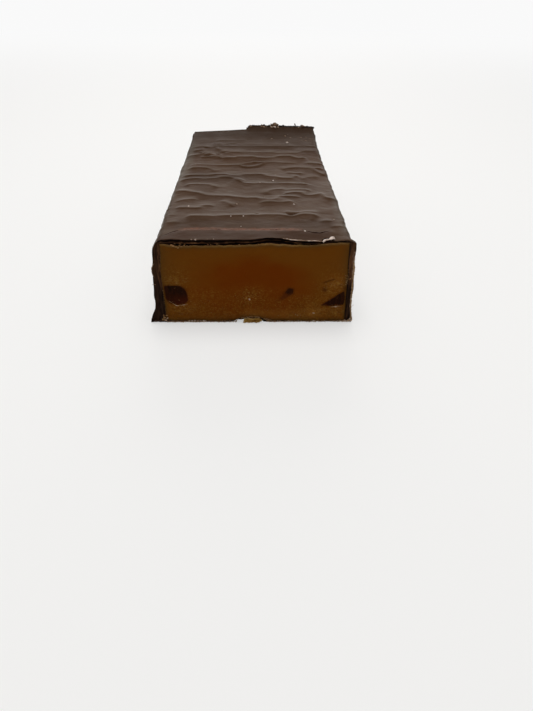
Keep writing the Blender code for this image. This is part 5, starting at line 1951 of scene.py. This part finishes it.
# ------------------------------------------------------------------ the stage
def make_stage():
    scene = bpy.context.scene
    mesh = bpy.data.meshes.new("floor")
    s = 6.0
    mesh.from_pydata([(-s, -s, -0.00006), (s, -s, -0.00006),
                      (s, s, -0.00006), (-s, s, -0.00006)], [],
                     [(0, 1, 2, 3)])
    floor = link(bpy.data.objects.new("floor", mesh))
    pale = bpy.data.materials.new("pale_floor")
    pale.use_nodes = True
    shader = pale.node_tree.nodes["Principled BSDF"]
    shader.inputs["Base Color"].default_value = (0.88, 0.88, 0.87, 1.0)
    shader.inputs["Roughness"].default_value = 0.9
    shader.inputs["Specular IOR Level"].default_value = 0.1
    # far off, the floor runs into the pale backdrop
    tree = pale.node_tree
    where = tree.nodes.new("ShaderNodeTexCoord")
    length = tree.nodes.new("ShaderNodeVectorMath")
    length.operation = 'LENGTH'
    tree.links.new(where.outputs["Object"], length.inputs[0])
    reach = tree.nodes.new("ShaderNodeMapRange")
    reach.interpolation_type = 'SMOOTHSTEP'
    reach.inputs["From Min"].default_value = 0.16
    reach.inputs["From Max"].default_value = 0.70
    reach.inputs["To Min"].default_value = 0.52
    tree.links.new(length.outputs["Value"], reach.inputs["Value"])
    path = tree.nodes.new("ShaderNodeLightPath")
    both = tree.nodes.new("ShaderNodeMath")
    both.operation = 'MULTIPLY'
    tree.links.new(reach.outputs["Result"], both.inputs[0])
    tree.links.new(path.outputs["Is Camera Ray"], both.inputs[1])
    glow = tree.nodes.new("ShaderNodeEmission")
    glow.inputs["Color"].default_value = (0.95, 0.95, 0.95, 1.0)
    blend = tree.nodes.new("ShaderNodeMixShader")
    tree.links.new(both.outputs[0], blend.inputs[0])
    tree.links.new(shader.outputs[0], blend.inputs[1])
    tree.links.new(glow.outputs[0], blend.inputs[2])
    tree.links.new(blend.outputs[0],
                   tree.nodes["Material Output"].inputs["Surface"])
    mesh.materials.append(pale)

    # pale surroundings, brighter overhead and behind the bar than before it
    world = bpy.data.worlds.new("studio")
    scene.world = world
    world.use_nodes = True
    tree = world.node_tree
    ground = tree.nodes["Background"]
    coord = tree.nodes.new("ShaderNodeTexCoord")
    part = tree.nodes.new("ShaderNodeSeparateXYZ")
    tree.links.new(coord.outputs["Generated"], part.inputs[0])
    lean = tree.nodes.new("ShaderNodeMath")
    lean.operation = 'MULTIPLY_ADD'
    lean.inputs[1].default_value = 0.55
    tree.links.new(part.outputs[1], lean.inputs[0])
    tree.links.new(part.outputs[2], lean.inputs[2])
    span = tree.nodes.new("ShaderNodeMapRange")
    span.inputs["From Min"].default_value = -0.6
    span.inputs["From Max"].default_value = 1.0
    span.inputs["To Min"].default_value = 0.085
    span.inputs["To Max"].default_value = 0.36
    tree.links.new(lean.outputs[0], span.inputs["Value"])
    tree.links.new(span.outputs[0], ground.inputs["Strength"])
    ground.inputs["Color"].default_value = (1.0, 0.995, 0.985, 1.0)
    seen = tree.nodes.new("ShaderNodeBackground")
    seen.inputs["Color"].default_value = (0.95, 0.95, 0.95, 1.0)
    seen.inputs["Strength"].default_value = 1.0
    path = tree.nodes.new("ShaderNodeLightPath")
    both = tree.nodes.new("ShaderNodeMixShader")
    tree.links.new(path.outputs["Is Camera Ray"], both.inputs[0])
    tree.links.new(ground.outputs[0], both.inputs[1])
    tree.links.new(seen.outputs[0], both.inputs[2])
    tree.links.new(both.outputs[0],
                   tree.nodes["World Output"].inputs["Surface"])

    def area(name, at, aim, size, power, colour=(1, 1, 1)):
        lamp = bpy.data.lights.new(name, 'AREA')
        lamp.shape = 'DISK'
        lamp.size = size
        lamp.energy = power
        lamp.color = colour
        obj = link(bpy.data.objects.new(name, lamp))
        obj.location = at
        obj.rotation_euler = (Vector(aim) - Vector(at)).to_track_quat(
            '-Z', 'Y').to_euler()
        return obj

    area("overhead", (0.0, 0.02, 0.60), (0.0, 0.0, 0.0), 0.45, 2.35,
         (1.0, 0.985, 0.96))
    area("behind", (0.0, 0.94, 0.26), (0.0, 0.0, 0.0), 0.80, 5.2,
         (1.0, 0.97, 0.93))

    cam = bpy.data.cameras.new("camera")
    cam.sensor_fit = 'AUTO'
    cam.sensor_width = 36.0
    cam.lens = 27.23
    cam.clip_start = 0.005
    cam.clip_end = 50.0
    obj = link(bpy.data.objects.new("camera", cam))
    right = Vector((1.0, -0.0182, 0.0082)).normalized()
    back = Vector((-0.0199, -0.8013, 0.5980)).normalized()
    up = back.cross(right).normalized()
    right = up.cross(back).normalized()
    turn = Matrix((right, up, back)).transposed()
    eye = Vector((0.24, -127.65, 83.43)) + Vector(SHIFT)
    obj.matrix_world = Matrix.Translation(eye * 0.001) @ turn.to_4x4()
    scene.camera = obj
    scene.view_settings.view_transform = 'Standard'
    scene.view_settings.look = 'None'
    scene.view_settings.exposure = 0.0
    scene.view_settings.gamma = 1.0


# ----------------------------------------------------------------- put it all
def main():
    skin, body, root, bits = chocolate(), fudge(), ginger(), crumb()
    gold, dark_bits = golden(), chip()
    coat = make_coat(skin, broken_chocolate())
    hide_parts("chocolate_coat")
    slab = make_fudge(body)
    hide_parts("fudge")
    pieces = [coat, slab]
    for key, g in GINGER.items():
        die = make_ginger(key, g, root)
        pieces.append(die)
    for obj, slot in ((make_fudge_crumbs(bits), "fudge"),
                      (make_tail_crumbs(dark_bits), "dark_chocolate"),
                      (make_specks(dark_bits), "dark_chocolate"),
                      (make_gold_flake(gold), "fudge"),
                      (make_syrup_lines(bits), "fudge"),
                      (make_hairs(dark_bits), "dark_chocolate")):
        pieces.append(obj)
    for obj in make_shavings(dark_bits):
        pieces.append(obj)
    for obj in pieces:
        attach(obj, "root")
    make_stage()


main()
